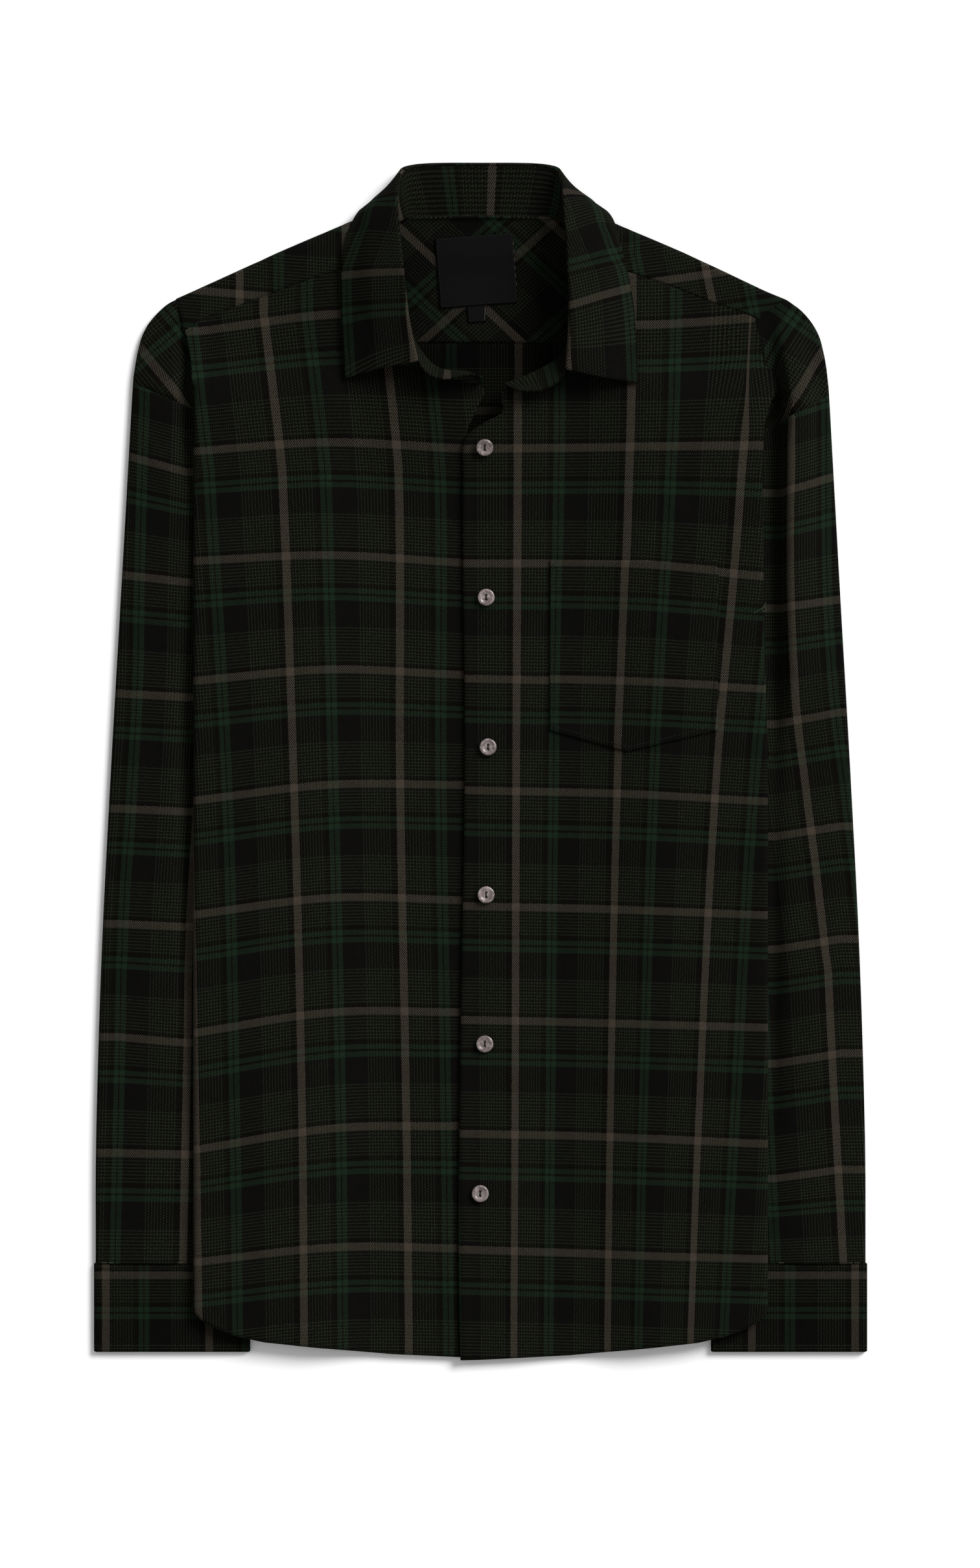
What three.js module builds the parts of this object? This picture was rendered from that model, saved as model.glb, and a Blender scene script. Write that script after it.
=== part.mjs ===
import * as THREE from "three";

// A flannel shirt laid on its back on a flat surface, front up and collar towards +Y.
// Millimetres, +Z up, the surface at z = 0. X runs across, and the wearer's left side is at +X.

// Driving dimensions
const hemLowY = -400; // the hem at the front edge
const yokeSeamY = 280.6; // inside, where yoke and back meet
const neckBackY = 365; // where the collar stand leaves the yoke
const sideFoldX = 191.8; // the body's sides are folded under here
const sideSeamX = 124; // how far in the folded sides reach
const placketEdgeX = -13.2; // edge of the front that lies on top
const underEdgeX = 17; // edge of the front that lies below
const cuffTopY = -336;
const cuffLowY = -394.4;
const clothWall = 1.2;
const yokeWall = 2.2; // two layers of cloth
const standWall = 1.4;
const cuffWall = 1.8;
const seamGap = 0.3;
const layerGap = 0.5;

// Levels of the cloth's middle above the surface
const halfCloth = clothWall / 2;
const restLevel = halfCloth;
const backSideLevel = 10;
const backRoll = 1.1; // radius of the back's side fold
const frontRoll = backRoll + clothWall + layerGap; // the front's fold goes round it
const foldStartX = sideFoldX - frontRoll - halfCloth;
const hollowGap = 2.7; // air between front and back along the middle
const hollowLow = 0.8;
const hollowHigh = 3.7;
const neckRise = 8.5; // how much the neck opening lifts the cloth round it
const sleeveTopLevel = 4.6;
const sleeveRoll = (sleeveTopLevel - restLevel) / 2;
const sleeveSeamLevel = clothWall + seamGap + halfCloth;

// Colours of the cloth, the shell buttons and the woven label
const clothColour = 0x2a3329;
const buttonColour = 0xc9b9ad;
const labelColour = 0x17181b;

const mix = (a, b, share) => a + (b - a) * share;

// Eases from 0 at a to 1 at b.
function ease(a, b, value) {
  const t = Math.min(1, Math.max(0, (value - a) / (b - a)));
  return t * t * (3 - 2 * t);
}

// The values of a table's columns between two of its rows: a smooth curve goes through every row.
function between(rows, place) {
  const last = rows.length - 1;
  const row = Math.min(last - 1, Math.floor(place));
  const t = place - row;
  const result = {};
  for (const column of Object.keys(rows[0])) {
    if (typeof rows[0][column] !== "number") continue;
    const before = rows[Math.max(0, row - 1)][column];
    const from = rows[row][column];
    const to = rows[row + 1][column];
    const after = rows[Math.min(last, row + 2)][column];
    const leave = row === 0 ? to - from : (to - before) / 2;
    const arrive = row + 1 === last ? to - from : (after - from) / 2;
    const a = 2 * from - 2 * to + leave + arrive;
    const b = 3 * (to - from) - 2 * leave - arrive;
    result[column] = ((a * t + b) * t + leave) * t + from;
  }
  return result;
}

// Every section of a table, with its number of steps to the next one.
function sections(rows) {
  const list = [];
  rows.slice(0, -1).forEach((row, index) => {
    for (let step = 0; step < row.steps; step++) list.push(between(rows, index + step / row.steps));
  });
  list.push(between(rows, rows.length - 1));
  return list;
}

// A value read off a two-column table of x and y, straight between its rows.
function readOff(rows, x) {
  const next = Math.max(1, rows.findIndex((row) => row.x >= x));
  const to = x > rows[rows.length - 1].x ? rows[rows.length - 1] : rows[next];
  const from = rows[rows.indexOf(to) - 1];
  return mix(from.y, to.y, (x - from.x) / (to.x - from.x));
}

// Even steps from one value to another, without the last value.
function steps(from, to, count) {
  return Array.from({ length: count }, (_, index) => mix(from, to, index / count));
}

// A closed wall round a grid of points in the cloth's middle. Its outer face looks along
// the direction of the first index crossed with that of the second.
function wallRound(grid, wall, ring = false) {
  const across = grid.length;
  const along = grid[0].length;
  const wrap = (i) => (ring ? (i + across) % across : Math.min(across - 1, Math.max(0, i)));
  const clip = (j) => Math.min(along - 1, Math.max(0, j));
  const outer = [];
  const inner = [];
  for (let i = 0; i < across; i++) {
    for (let j = 0; j < along; j++) {
      const du = grid[wrap(i + 1)][j].clone().sub(grid[wrap(i - 1)][j]);
      const dv = grid[i][clip(j + 1)].clone().sub(grid[i][clip(j - 1)]);
      const out = du.cross(dv).normalize().multiplyScalar(wall / 2);
      outer.push(grid[i][j].clone().add(out));
      inner.push(grid[i][j].clone().sub(out));
    }
  }
  const points = outer.concat(inner);
  const under = outer.length;
  const at = (i, j) => wrap(i) * along + j;
  const faces = [];
  const quad = (a, b, c, d) => faces.push(a, b, c, a, c, d);
  const columns = ring ? across : across - 1;
  for (let i = 0; i < columns; i++) {
    for (let j = 0; j < along - 1; j++) {
      quad(at(i, j), at(i + 1, j), at(i + 1, j + 1), at(i, j + 1));
      quad(under + at(i, j), under + at(i, j + 1), under + at(i + 1, j + 1), under + at(i + 1, j));
    }
    const end = along - 1;
    quad(under + at(i, 0), under + at(i + 1, 0), at(i + 1, 0), at(i, 0));
    quad(at(i, end), at(i + 1, end), under + at(i + 1, end), under + at(i, end));
  }
  for (let j = 0; j < along - 1 && !ring; j++) {
    const end = across - 1;
    quad(at(0, j), at(0, j + 1), under + at(0, j + 1), under + at(0, j));
    quad(at(end, j + 1), at(end, j), under + at(end, j), under + at(end, j + 1));
  }
  const positions = points.flatMap((point) => [point.x, point.y, point.z]);
  const geometry = new THREE.BufferGeometry();
  geometry.setAttribute("position", new THREE.Float32BufferAttribute(positions, 3));
  geometry.setIndex(faces);
  geometry.computeVertexNormals();
  return geometry;
}

// Where a length of cloth lies that turns under itself in a round fold.
function rolled(length, start, radius, level) {
  const over = length - start;
  const half = Math.PI * radius;
  if (over <= 0) return { reach: length, level };
  if (over < half) {
    const turn = over / radius;
    return { reach: start + radius * Math.sin(turn), level: level - radius * (1 - Math.cos(turn)) };
  }
  return { reach: start - (over - half), level: level - 2 * radius };
}

// Steps along cloth that rolls: even up to the fold, close on it, and a few beyond.
function foldSteps(from, start, radius, to, { flat, round, under }) {
  const turnEnd = Math.min(start + Math.PI * radius, mix(start, to, round / (round + under)));
  return [...steps(from, start, flat), ...steps(start, turnEnd, round), ...steps(turnEnd, to, under), to];
}

// Levels of the body's layers

// The sides rest on the sleeves and on their own folded cloth: full height past the outer x,
// none before the inner one. Above the armholes they lie low.
const sideSlope = { inX: 62, outX: 116, lowY: 238, highY: 276 };
const sideShare = (x, y) =>
  ease(sideSlope.inX, sideSlope.outX, Math.abs(x)) * (1 - ease(sideSlope.lowY, sideSlope.highY, y));

// The fold leaves the panel where the armhole crosses it.
const foldLeaves = { lowY: 250, highY: 268, reach: 30 };
const foldStart = (y) => foldStartX + foldLeaves.reach * ease(foldLeaves.lowY, foldLeaves.highY, y);

const backLevel = (x, y) => mix(restLevel, backSideLevel, sideShare(x, y));

// Long soft waves of the fronts: where each lies, how far it reaches each way, its lean and its height.
const waves = [
  { x: -70, y: 120, wide: 26, long: 130, lean: 0.06, height: 1.0 },
  { x: -112, y: -120, wide: 22, long: 150, lean: -0.05, height: -1.1 },
  { x: -48, y: -250, wide: 20, long: 110, lean: 0.08, height: 0.9 },
  { x: 74, y: -60, wide: 24, long: 120, lean: -0.07, height: 1.0 },
  { x: 40, y: -210, wide: 18, long: 130, lean: 0.05, height: -1.2 },
  { x: 92, y: -300, wide: 20, long: 90, lean: -0.1, height: 0.9 },
  { x: -24, y: 20, wide: 16, long: 140, lean: 0.02, height: -0.9 },
];

function waveHeight(x, y) {
  let sum = 0;
  for (const wave of waves) {
    const off = (x - wave.x - wave.lean * (y - wave.y)) / wave.wide;
    const along = (y - wave.y) / wave.long;
    sum += wave.height * Math.exp(-off * off - along * along);
  }
  return sum;
}

// The neck opening stands up: full height out to its rim, none at the end of the slope, which
// is a number of rims away from the middle.
const neckRim = { y: 300, wide: 62, long: 52, slopeEnd: 2.6 };

function neckLift(x, y) {
  const distance = Math.hypot(x / neckRim.wide, (y - neckRim.y) / neckRim.long);
  return neckRise * (1 - ease(1, neckRim.slopeEnd, distance));
}

function frontLevel(x, y) {
  const hollow = Math.min(hollowHigh, Math.max(hollowLow, hollowGap + waveHeight(x, y)));
  const gap = mix(hollow, layerGap, sideShare(x, y));
  return backLevel(x, y) + clothWall + gap + neckLift(x, y);
}

// The upper front clears the edge of the lower one.
const overSlope = { fromX: 24, toX: 58 };
const overLift = (x) => (clothWall + layerGap) * (1 - ease(overSlope.fromX, overSlope.toX, x));

const frontLevels = {
  left: (x, y) => frontLevel(x, y) + overLift(x),
  right: (x, y) => frontLevel(x, y),
};

// Fronts

// The hem of a half: its height at each distance from the middle, along the cloth.
const hem = [
  { x: -20, y: hemLowY },
  { x: 0, y: hemLowY + 0.4 },
  { x: 60, y: -397 },
  { x: 113, y: -392 },
  { x: 145, y: -388.6 },
  { x: 163, y: -384.6 },
  { x: 176, y: -380 },
  { x: 185, y: -375 },
  { x: 192, y: -368 },
  { x: 202, y: -352 },
  { x: 225, y: -322 },
  { x: 264, y: -300 },
];

// The seam between front and yoke, from the neck out.
const yokeFrontSeam = [
  { x: 58, y: 338 },
  { x: 84, y: 330.5 },
  { x: 106, y: 324.5 },
  { x: 131, y: 316 },
  { x: 157, y: 306 },
  { x: 176, y: 300 },
  { x: 187, y: 294.5 },
  { x: 198, y: 287 },
];

const frontSeamEnd = 2 * foldStartX + Math.PI * frontRoll - sideSeamX;

// Outer edge shared by both fronts: side seam up to the underarm, then the armhole.
const outerEdge = [
  { steps: 2, outX: frontSeamEnd, outY: -300 },
  { steps: 3, outX: frontSeamEnd, outY: -215 },
  { steps: 3, outX: frontSeamEnd, outY: -90 },
  { steps: 2, outX: frontSeamEnd, outY: 20 },
  { steps: 2, outX: frontSeamEnd, outY: 95 },
  { steps: 2, outX: 226, outY: 178 },
  { steps: 1, outX: 204, outY: 226 },
  { steps: 1, outX: 196.5, outY: 240 },
  { steps: 1, outX: 192.6, outY: 248 },
  { steps: 1, outX: 191.2, outY: 256 },
  { steps: 1, outX: 191.4, outY: 263 },
  { steps: 1, outX: 192.4, outY: 270 },
  { steps: 2, outX: 194, outY: 278 },
  { steps: 0, outX: 196.6, outY: 287.7 },
];

// Inner edges, one row for each section of the outer edge: front edge, then neckline.
const innerEdges = {
  left: [
    { inX: placketEdgeX, inY: hemLowY },
    { inX: placketEdgeX, inY: -310 },
    { inX: placketEdgeX, inY: -170 },
    { inX: placketEdgeX, inY: -50 },
    { inX: placketEdgeX, inY: 40 },
    { inX: placketEdgeX, inY: 130 },
    { inX: placketEdgeX + 0.4, inY: 190 },
    { inX: -10.5, inY: 215 },
    { inX: 3, inY: 226 },
    { inX: 14.8, inY: 233 },
    { inX: 15.6, inY: 247.6 },
    { inX: 38, inY: 256.5 },
    { inX: 57, inY: 274 },
    { inX: 66.3, inY: 335.7 },
  ],
  right: [
    { inX: -underEdgeX, inY: hemLowY + 1 },
    { inX: -underEdgeX, inY: -310 },
    { inX: -underEdgeX, inY: -170 },
    { inX: -underEdgeX, inY: -50 },
    { inX: -underEdgeX, inY: 40 },
    { inX: -underEdgeX, inY: 130 },
    { inX: -15, inY: 185 },
    { inX: 5, inY: 207 },
    { inX: 9.5, inY: 219 },
    { inX: 3, inY: 235 },
    { inX: -0.6, inY: 249.6 },
    { inX: 28, inY: 258 },
    { inX: 43, inY: 276 },
    { inX: 66.3, inY: 335.7 },
  ],
};

// Numbers of steps along a row before, round and past its side fold, and how far along the row
// the fold starts at the latest.
const frontSteps = { flat: 11, round: 6, under: 3 };
const backSteps = { flat: 9, round: 5, under: 3 };
const latestFold = 0.92;
const seamBendFrom = 0.85; // share of the height above which the yoke seam bends the rows

// A front panel as a grid. Each row runs from the inner edge to the outer edge along the cloth,
// bent by what is left of the hem's curve below and of the yoke seam's curve above.
function frontGrid(sideName) {
  const mirror = sideName === "left" ? 1 : -1;
  const inner = innerEdges[sideName];
  const rows = sections(outerEdge.map((row, index) => ({ ...row, ...inner[index] })));
  const bottom = rows[0];
  const top = rows[rows.length - 1];
  const lines = rows.map((row, index) => {
    const height = index / (rows.length - 1);
    const bend = (share) => {
      const low = mix(bottom.inX, bottom.outX, share);
      const high = mix(top.inX, top.outX, share);
      const hemBend = readOff(hem, low) - mix(readOff(hem, bottom.inX), readOff(hem, bottom.outX), share);
      const seamBend = readOff(yokeFrontSeam, high) - mix(top.inY, top.outY, share);
      return hemBend * (1 - height) ** 2 + seamBend * ease(seamBendFrom, 1, height);
    };
    const fold = foldStart(row.outY);
    const start = Math.min(fold, mix(row.inX, row.outX, latestFold));
    return foldSteps(row.inX, start, frontRoll, row.outX, frontSteps).map((cloth) => {
      const share = (cloth - row.inX) / (row.outX - row.inX);
      const y = mix(row.inY, row.outY, share) + bend(share);
      const level = frontLevels[sideName];
      const place = rolled(cloth, fold, frontRoll, level(mirror * Math.min(cloth, fold), y));
      return new THREE.Vector3(mirror * place.reach, y, place.level);
    });
  });
  return mirror > 0 ? transpose(lines) : transpose(lines).reverse();
}

// Rows become columns, so that the first index runs across the shirt.
const transpose = (rows) => rows[0].map((_, index) => rows.map((row) => row[index]));

// Back

const backSeamEnd = 2 * foldStartX + Math.PI * backRoll - sideSeamX;

const backRows = [
  { steps: 2, outX: backSeamEnd, outY: -299, midY: -396.5 },
  { steps: 2, outX: backSeamEnd, outY: -200, midY: -280 },
  { steps: 3, outX: backSeamEnd, outY: -70, midY: -120 },
  { steps: 2, outX: backSeamEnd, outY: 95, midY: 60 },
  { steps: 2, outX: 222, outY: 178, midY: 160 },
  { steps: 1, outX: 199, outY: 226, midY: 215 },
  { steps: 1, outX: 192, outY: 240, midY: 232 },
  { steps: 1, outX: 190.6, outY: 250, midY: 246 },
  { steps: 1, outX: 190.4, outY: 262, midY: 260 },
  { steps: 0, outX: 193.2, outY: yokeSeamY - seamGap, midY: yokeSeamY - seamGap },
];

function backGrid() {
  const rows = sections(backRows);
  const lines = rows.map((row, index) => {
    const height = index / (rows.length - 1);
    const fold = foldStart(row.outY);
    const start = Math.min(fold, row.outX * latestFold);
    const half = foldSteps(0, start, backRoll, row.outX, backSteps).map((cloth) => {
      const share = cloth / row.outX;
      const low = share * backSeamEnd;
      const hemBend = readOff(hem, low) - mix(readOff(hem, 0), readOff(hem, backSeamEnd), share);
      const y = mix(row.midY, row.outY, share) + hemBend * (1 - height) ** 2;
      const place = rolled(cloth, fold, backRoll, backLevel(Math.min(cloth, fold), y));
      return new THREE.Vector3(place.reach, y, place.level);
    });
    const mirrored = half.slice(1).map((point) => new THREE.Vector3(-point.x, point.y, point.z));
    return [...mirrored.reverse(), ...half];
  });
  return transpose(lines);
}

// Yoke: flat on the surface at the back, folded over the shoulders to the front seam

const shoulderLine = [
  { x: 50, y: 366 },
  { x: 70, y: 366 },
  { x: 88, y: 360.4 },
  { x: 116, y: 348.7 },
  { x: 136.4, y: 340 },
  { x: 155.4, y: 331.3 },
  { x: 174, y: 322.7 },
  { x: 193, y: 314 },
  { x: 206, y: 308.2 },
];

// The collar's leaf lies under the middle of the yoke's top edge and lifts it.
const leafReach = { inX: 80, outX: 100, lowY: 322, highY: 341 };
const underCollar = (x, y) =>
  (1 - ease(leafReach.inX, leafReach.outX, Math.abs(x))) * ease(leafReach.lowY, leafReach.highY, y);
const yokeLow = yokeWall / 2;
const yokeLift = 1.5;
const yokeLevel = (x, y) => yokeLow + yokeLift * underCollar(x, y);

// Half of the yoke as straight lines of cloth from the back seam up to the neckline or, past the
// neck, over the shoulder to the front seam.
const yokeHalf = [
  { steps: 2, lowX: 0, foldX: 0, topX: 0, topY: neckBackY, front: 0, seamed: 0 },
  { steps: 2, lowX: 38, foldX: 36, topX: 36, topY: 364, front: 0, seamed: 0 },
  { steps: 1, lowX: 57, foldX: 51, topX: 51, topY: 362.6, front: 0, seamed: 0 },
  { steps: 1, lowX: 64, foldX: 63.5, topX: 63.5, topY: 352, front: 1, seamed: 0 },
  { steps: 2, lowX: 71, foldX: 67, topX: 66.6, topY: 336, front: 1, seamed: 1 },
  { steps: 3, lowX: 105, foldX: 100, topX: 98, topY: 327, front: 1, seamed: 1 },
  { steps: 5, lowX: 150, foldX: 150, topX: 146, topY: 310, front: 1, seamed: 1 },
  { steps: 0, lowX: 194.2, foldX: 202.6, topX: 197, topY: 288, front: 1, seamed: 1 },
];
const yokeSeamGap = seamGap + 0.2; // the seam bends, so its chords need a little more room
const yokeSteps = { flat: 5, round: 5, under: 2 };
const neckFoldShare = 0.62; // where the steps change on the lines that end at the neckline

function yokeLine(row, mirror) {
  const shoulder = readOff(shoulderLine, row.foldX);
  const high = frontLevel(row.foldX, shoulder);
  const low = yokeLevel(row.foldX, shoulder);
  const radius = (high - low) / 2;
  const centre = shoulder - radius - yokeLow;
  const topY = mix(row.topY, readOff(yokeFrontSeam, row.topX) + yokeSeamGap, row.seamed);
  const turned = centre + Math.PI * radius + (centre - topY);
  const end = mix(topY, turned, ease(0, 1, row.front));
  const start = Math.min(centre, mix(yokeSeamY, end, neckFoldShare));
  const topShare = (start - yokeSeamY + radius) / (end - yokeSeamY);
  return foldSteps(yokeSeamY, start, radius, end, yokeSteps).map((cloth) => {
    const share = (cloth - yokeSeamY) / (end - yokeSeamY);
    const past = Math.max(0, (share - topShare) / (1 - topShare));
    const x = mix(mix(row.lowX, row.foldX, Math.min(1, share / topShare)), row.topX, past);
    const place = rolled(cloth, centre, radius, 0);
    const beyond = cloth > centre + Math.PI * radius;
    const level = beyond ? frontLevel(x, place.reach) : yokeLevel(x, place.reach) - place.level;
    return new THREE.Vector3(mirror * x, place.reach, level);
  });
}

function yokeGrid() {
  const half = sections(yokeHalf);
  const right = half.slice(1).map((row) => yokeLine(row, -1));
  return [...right.reverse(), ...half.map((row) => yokeLine(row, 1))];
}

// Sleeves: one sheet round each arm, its two long edges meeting at the hidden inner side

const sleeveRows = [
  { steps: 2, inX: 153, inY: cuffTopY + seamGap, outX: 257.4, outY: cuffTopY + seamGap, inLevel: sleeveSeamLevel },
  { steps: 3, inX: 146, inY: -250, outX: 257, outY: -250, inLevel: sleeveSeamLevel },
  { steps: 3, inX: 133, inY: -130, outX: 253.4, outY: -130, inLevel: sleeveSeamLevel },
  { steps: 3, inX: 123, inY: -10, outX: 247.4, outY: -10, inLevel: sleeveSeamLevel },
  { steps: 2, inX: 119, inY: 95, outX: 241.4, outY: 95, inLevel: sleeveSeamLevel },
  { steps: 2, inX: 140, inY: 162, outX: 238, outY: 150, inLevel: 3 },
  { steps: 1, inX: 168, inY: 212, outX: 236, outY: 190, inLevel: 4 },
  { steps: 1, inX: 188, inY: 238, outX: 234.7, outY: 215, inLevel: 4.4 },
  { steps: 1, inX: 193.8, inY: 249, outX: 233.6, outY: 238, inLevel: 5.2 },
  { steps: 1, inX: 192, inY: 257, outX: 232.3, outY: 255, inLevel: 6.4 },
  { steps: 1, inX: 192.2, inY: 265, outX: 230.6, outY: 268, inLevel: 5.6 },
  { steps: 1, inX: 193.7, inY: 274, outX: 227.9, outY: 281, inLevel: 4.8 },
  { steps: 1, inX: 196.2, inY: 283.5, outX: 222.5, outY: 292.4, inLevel: 4.6 },
  { steps: 1, inX: 199.3, inY: 293, outX: 214.5, outY: 301.2, inLevel: 4.6 },
  { steps: 1, inX: 201.6, inY: 300.6, outX: 208.8, outY: 306, inLevel: 4.6 },
  { steps: 0, inX: 203, inY: 305.2, outX: 205.6, outY: 308.6, inLevel: 4.6 },
];
const sleeveCrown = 0.9;
const sleeveRise = 14; // how soon the cloth rises from the hidden seam
const bodyEdgeX = 196;
const sleeveSteps = { top: 7, round: 4, under: 4 };

function sleeveLine(row, mirror) {
  const from = new THREE.Vector2(row.inX, row.inY);
  const to = new THREE.Vector2(row.outX, row.outY);
  const width = from.distanceTo(to);
  const along = to.clone().sub(from).normalize();
  const start = width - sleeveRoll - halfCloth;
  const turned = start + Math.PI * sleeveRoll;
  const end = turned + start;
  const lengths = [
    ...steps(0, start, sleeveSteps.top),
    ...steps(start, turned, sleeveSteps.round),
    ...steps(turned, end, sleeveSteps.under),
    end,
  ];
  return lengths.map((cloth) => {
    const place = rolled(cloth, start, sleeveRoll, sleeveTopLevel);
    const x = row.inX + along.x * place.reach;
    const y = row.inY + along.y * place.reach;
    let level = place.level;
    if (cloth < start) {
      const rise = ease(0, Math.min(sleeveRise, start), cloth);
      const visible = Math.max(0, Math.min(1, (x - bodyEdgeX) / (row.outX - bodyEdgeX)));
      level = mix(row.inLevel, sleeveTopLevel, rise) + sleeveCrown * Math.sin(Math.PI * visible);
    }
    return new THREE.Vector3(mirror * x, y, level);
  });
}

function sleeveGrid(mirror) {
  const lines = sections(sleeveRows).map((row) => sleeveLine(row, mirror));
  return mirror > 0 ? transpose(lines) : transpose(lines).reverse();
}

// Cuffs: a flattened band of thicker cloth

const cuffInX = 154;
const cuffOutX = 258.5;
const cuffTopLevel = 3.8;
const cuffSteps = { flat: 5, round: 4 };

function cuffGrid(mirror) {
  const low = cuffWall / 2;
  const radius = (cuffTopLevel - low) / 2;
  const inside = cuffInX + radius + low;
  const outside = cuffOutX - radius - low;
  const section = [];
  for (const x of steps(inside, outside, cuffSteps.flat)) section.push([x, cuffTopLevel]);
  for (const turn of steps(0, Math.PI, cuffSteps.round)) {
    section.push([outside + radius * Math.sin(turn), low + radius + radius * Math.cos(turn)]);
  }
  for (const x of steps(outside, inside, cuffSteps.flat)) section.push([x, low]);
  for (const turn of steps(0, Math.PI, cuffSteps.round)) {
    section.push([inside - radius * Math.sin(turn), low + radius - radius * Math.cos(turn)]);
  }
  const grid = section.map(([x, z]) =>
    [cuffLowY, mix(cuffLowY, cuffTopY, 0.5), cuffTopY].map((y) => new THREE.Vector3(mirror * x, y, z)),
  );
  return mirror > 0 ? grid : grid.reverse();
}

// Collar: a stand from the neck seam up to its fold, and a leaf that falls outside it

// The stand from the wearer's right end round the back to the left end. The neck seam is seam*,
// the fold or free edge is top*, and bulge is how far the stand's middle stands out.
const standRows = [
  { steps: 1, seamX: 0.6, seamY: 252.4, seamZ: 14.2, topX: 1, topY: 255.4, topZ: 23, bulge: 0 },
  { steps: 1, seamX: -9, seamY: 259.4, seamZ: 14, topX: -6, topY: 257, topZ: 25, bulge: 0 },
  { steps: 1, seamX: -28, seamY: 261.6, seamZ: 14, topX: -29, topY: 254.6, topZ: 26.5, bulge: 0 },
  { steps: 1, seamX: -42, seamY: 276, seamZ: 14, topX: -42, topY: 267, topZ: 27.5, bulge: 1 },
  { steps: 2, seamX: -52, seamY: 300, seamZ: 14, topX: -48.5, topY: 296, topZ: 28, bulge: 2 },
  { steps: 2, seamX: -59, seamY: 332, seamZ: 14, topX: -53, topY: 334, topZ: 28, bulge: 3 },
  { steps: 2, seamX: -60.5, seamY: 354, seamZ: 13, topX: -56, topY: 364, topZ: 24, bulge: 3 },
  { steps: 2, seamX: -50, seamY: 364.8, seamZ: 5.2, topX: -53.5, topY: 388, topZ: 13, bulge: 2 },
  { steps: 3, seamX: -36, seamY: 365.4, seamZ: 2.7, topX: -43, topY: 396.6, topZ: 5, bulge: 0 },
  { steps: 3, seamX: 0, seamY: 366, seamZ: 2.6, topX: 0, topY: 397.7, topZ: 3.5, bulge: 0 },
  { steps: 2, seamX: 36, seamY: 365.4, seamZ: 2.7, topX: 43, topY: 396.6, topZ: 5, bulge: 0 },
  { steps: 2, seamX: 50, seamY: 364.8, seamZ: 5.2, topX: 53, topY: 388, topZ: 13, bulge: 2 },
  { steps: 2, seamX: 60.5, seamY: 354, seamZ: 13, topX: 56.5, topY: 364, topZ: 24, bulge: 3 },
  { steps: 2, seamX: 63.5, seamY: 332, seamZ: 14, topX: 58.5, topY: 334, topZ: 28, bulge: 3 },
  { steps: 1, seamX: 62.5, seamY: 300, seamZ: 14, topX: 59.5, topY: 298, topZ: 28, bulge: 2 },
  { steps: 1, seamX: 56, seamY: 272.8, seamZ: 15.2, topX: 57, topY: 262, topZ: 27, bulge: 1 },
  { steps: 1, seamX: 40, seamY: 260.6, seamZ: 15.8, topX: 44, topY: 247.6, topZ: 25.5, bulge: 0 },
  { steps: 0, seamX: 16.4, seamY: 251, seamZ: 16.4, topX: 26, topY: 246, topZ: 23.5, bulge: 0 },
];

const neckMiddleY = 310;
const standShares = [0, 0.25, 0.5, 0.75, 1];

function standSection(row) {
  const seam = new THREE.Vector3(row.seamX, row.seamY, row.seamZ);
  const top = new THREE.Vector3(row.topX, row.topY, row.topZ);
  const outward = new THREE.Vector3(row.seamX, row.seamY - neckMiddleY, 0).normalize();
  return standShares.map((share) => {
    const point = seam.clone().lerp(top, share);
    return point.addScaledVector(outward, row.bulge * Math.sin(Math.PI * share));
  });
}

const standGrid = () => sections(standRows).map(standSection);

// The leaf from the wearer's right point round the back to the left point, one row for each row
// of the stand that carries it: mid* is the leaf's middle and edge* its free edge.
const leafRows = [
  { steps: 2, midX: -66, midY: 261.5, midZ: 24, edgeX: -90.4, edgeY: 255.6, edgeZ: 14.6 },
  { steps: 2, midX: -70, midY: 299, midZ: 24.5, edgeX: -93, edgeY: 302, edgeZ: 13.8 },
  { steps: 2, midX: -73, midY: 336, midZ: 24, edgeX: -93, edgeY: 337, edgeZ: 13.6 },
  { steps: 2, midX: -73.5, midY: 368, midZ: 18, edgeX: -86.6, edgeY: 363.8, edgeZ: 8.5 },
  { steps: 2, midX: -64.5, midY: 381.5, midZ: 6.5, edgeX: -73, edgeY: 370, edgeZ: 0.9 },
  { steps: 3, midX: -48, midY: 386, midZ: 1, edgeX: -50, edgeY: 354, edgeZ: 0.6 },
  { steps: 3, midX: 0, midY: 384, midZ: 0.6, edgeX: 0, edgeY: 350, edgeZ: 0.6 },
  { steps: 2, midX: 48, midY: 386, midZ: 1, edgeX: 50, edgeY: 354, edgeZ: 0.6 },
  { steps: 2, midX: 64.5, midY: 381.5, midZ: 6.5, edgeX: 73, edgeY: 370, edgeZ: 0.9 },
  { steps: 2, midX: 75, midY: 368, midZ: 18, edgeX: 87, edgeY: 363.8, edgeZ: 8.5 },
  { steps: 1, midX: 78, midY: 336, midZ: 24, edgeX: 95, edgeY: 337, edgeZ: 13.6 },
  { steps: 2, midX: 81, midY: 301, midZ: 24.5, edgeX: 102, edgeY: 303, edgeZ: 13.8 },
  { steps: 0, midX: 81, midY: 255.5, midZ: 24, edgeX: 105, edgeY: 252.4, edgeZ: 15 },
];
const firstCarrier = 3; // the stand's row that carries the leaf's first row
const leafRoll = 1.4;
const collarGap = seamGap + 0.35;
const rollShares = [0, 0.3, 0.6]; // of a half turn
const fallShares = [0.36, 0.48, 0.62, 0.8, 1]; // of the way from the turn to the free edge

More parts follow.
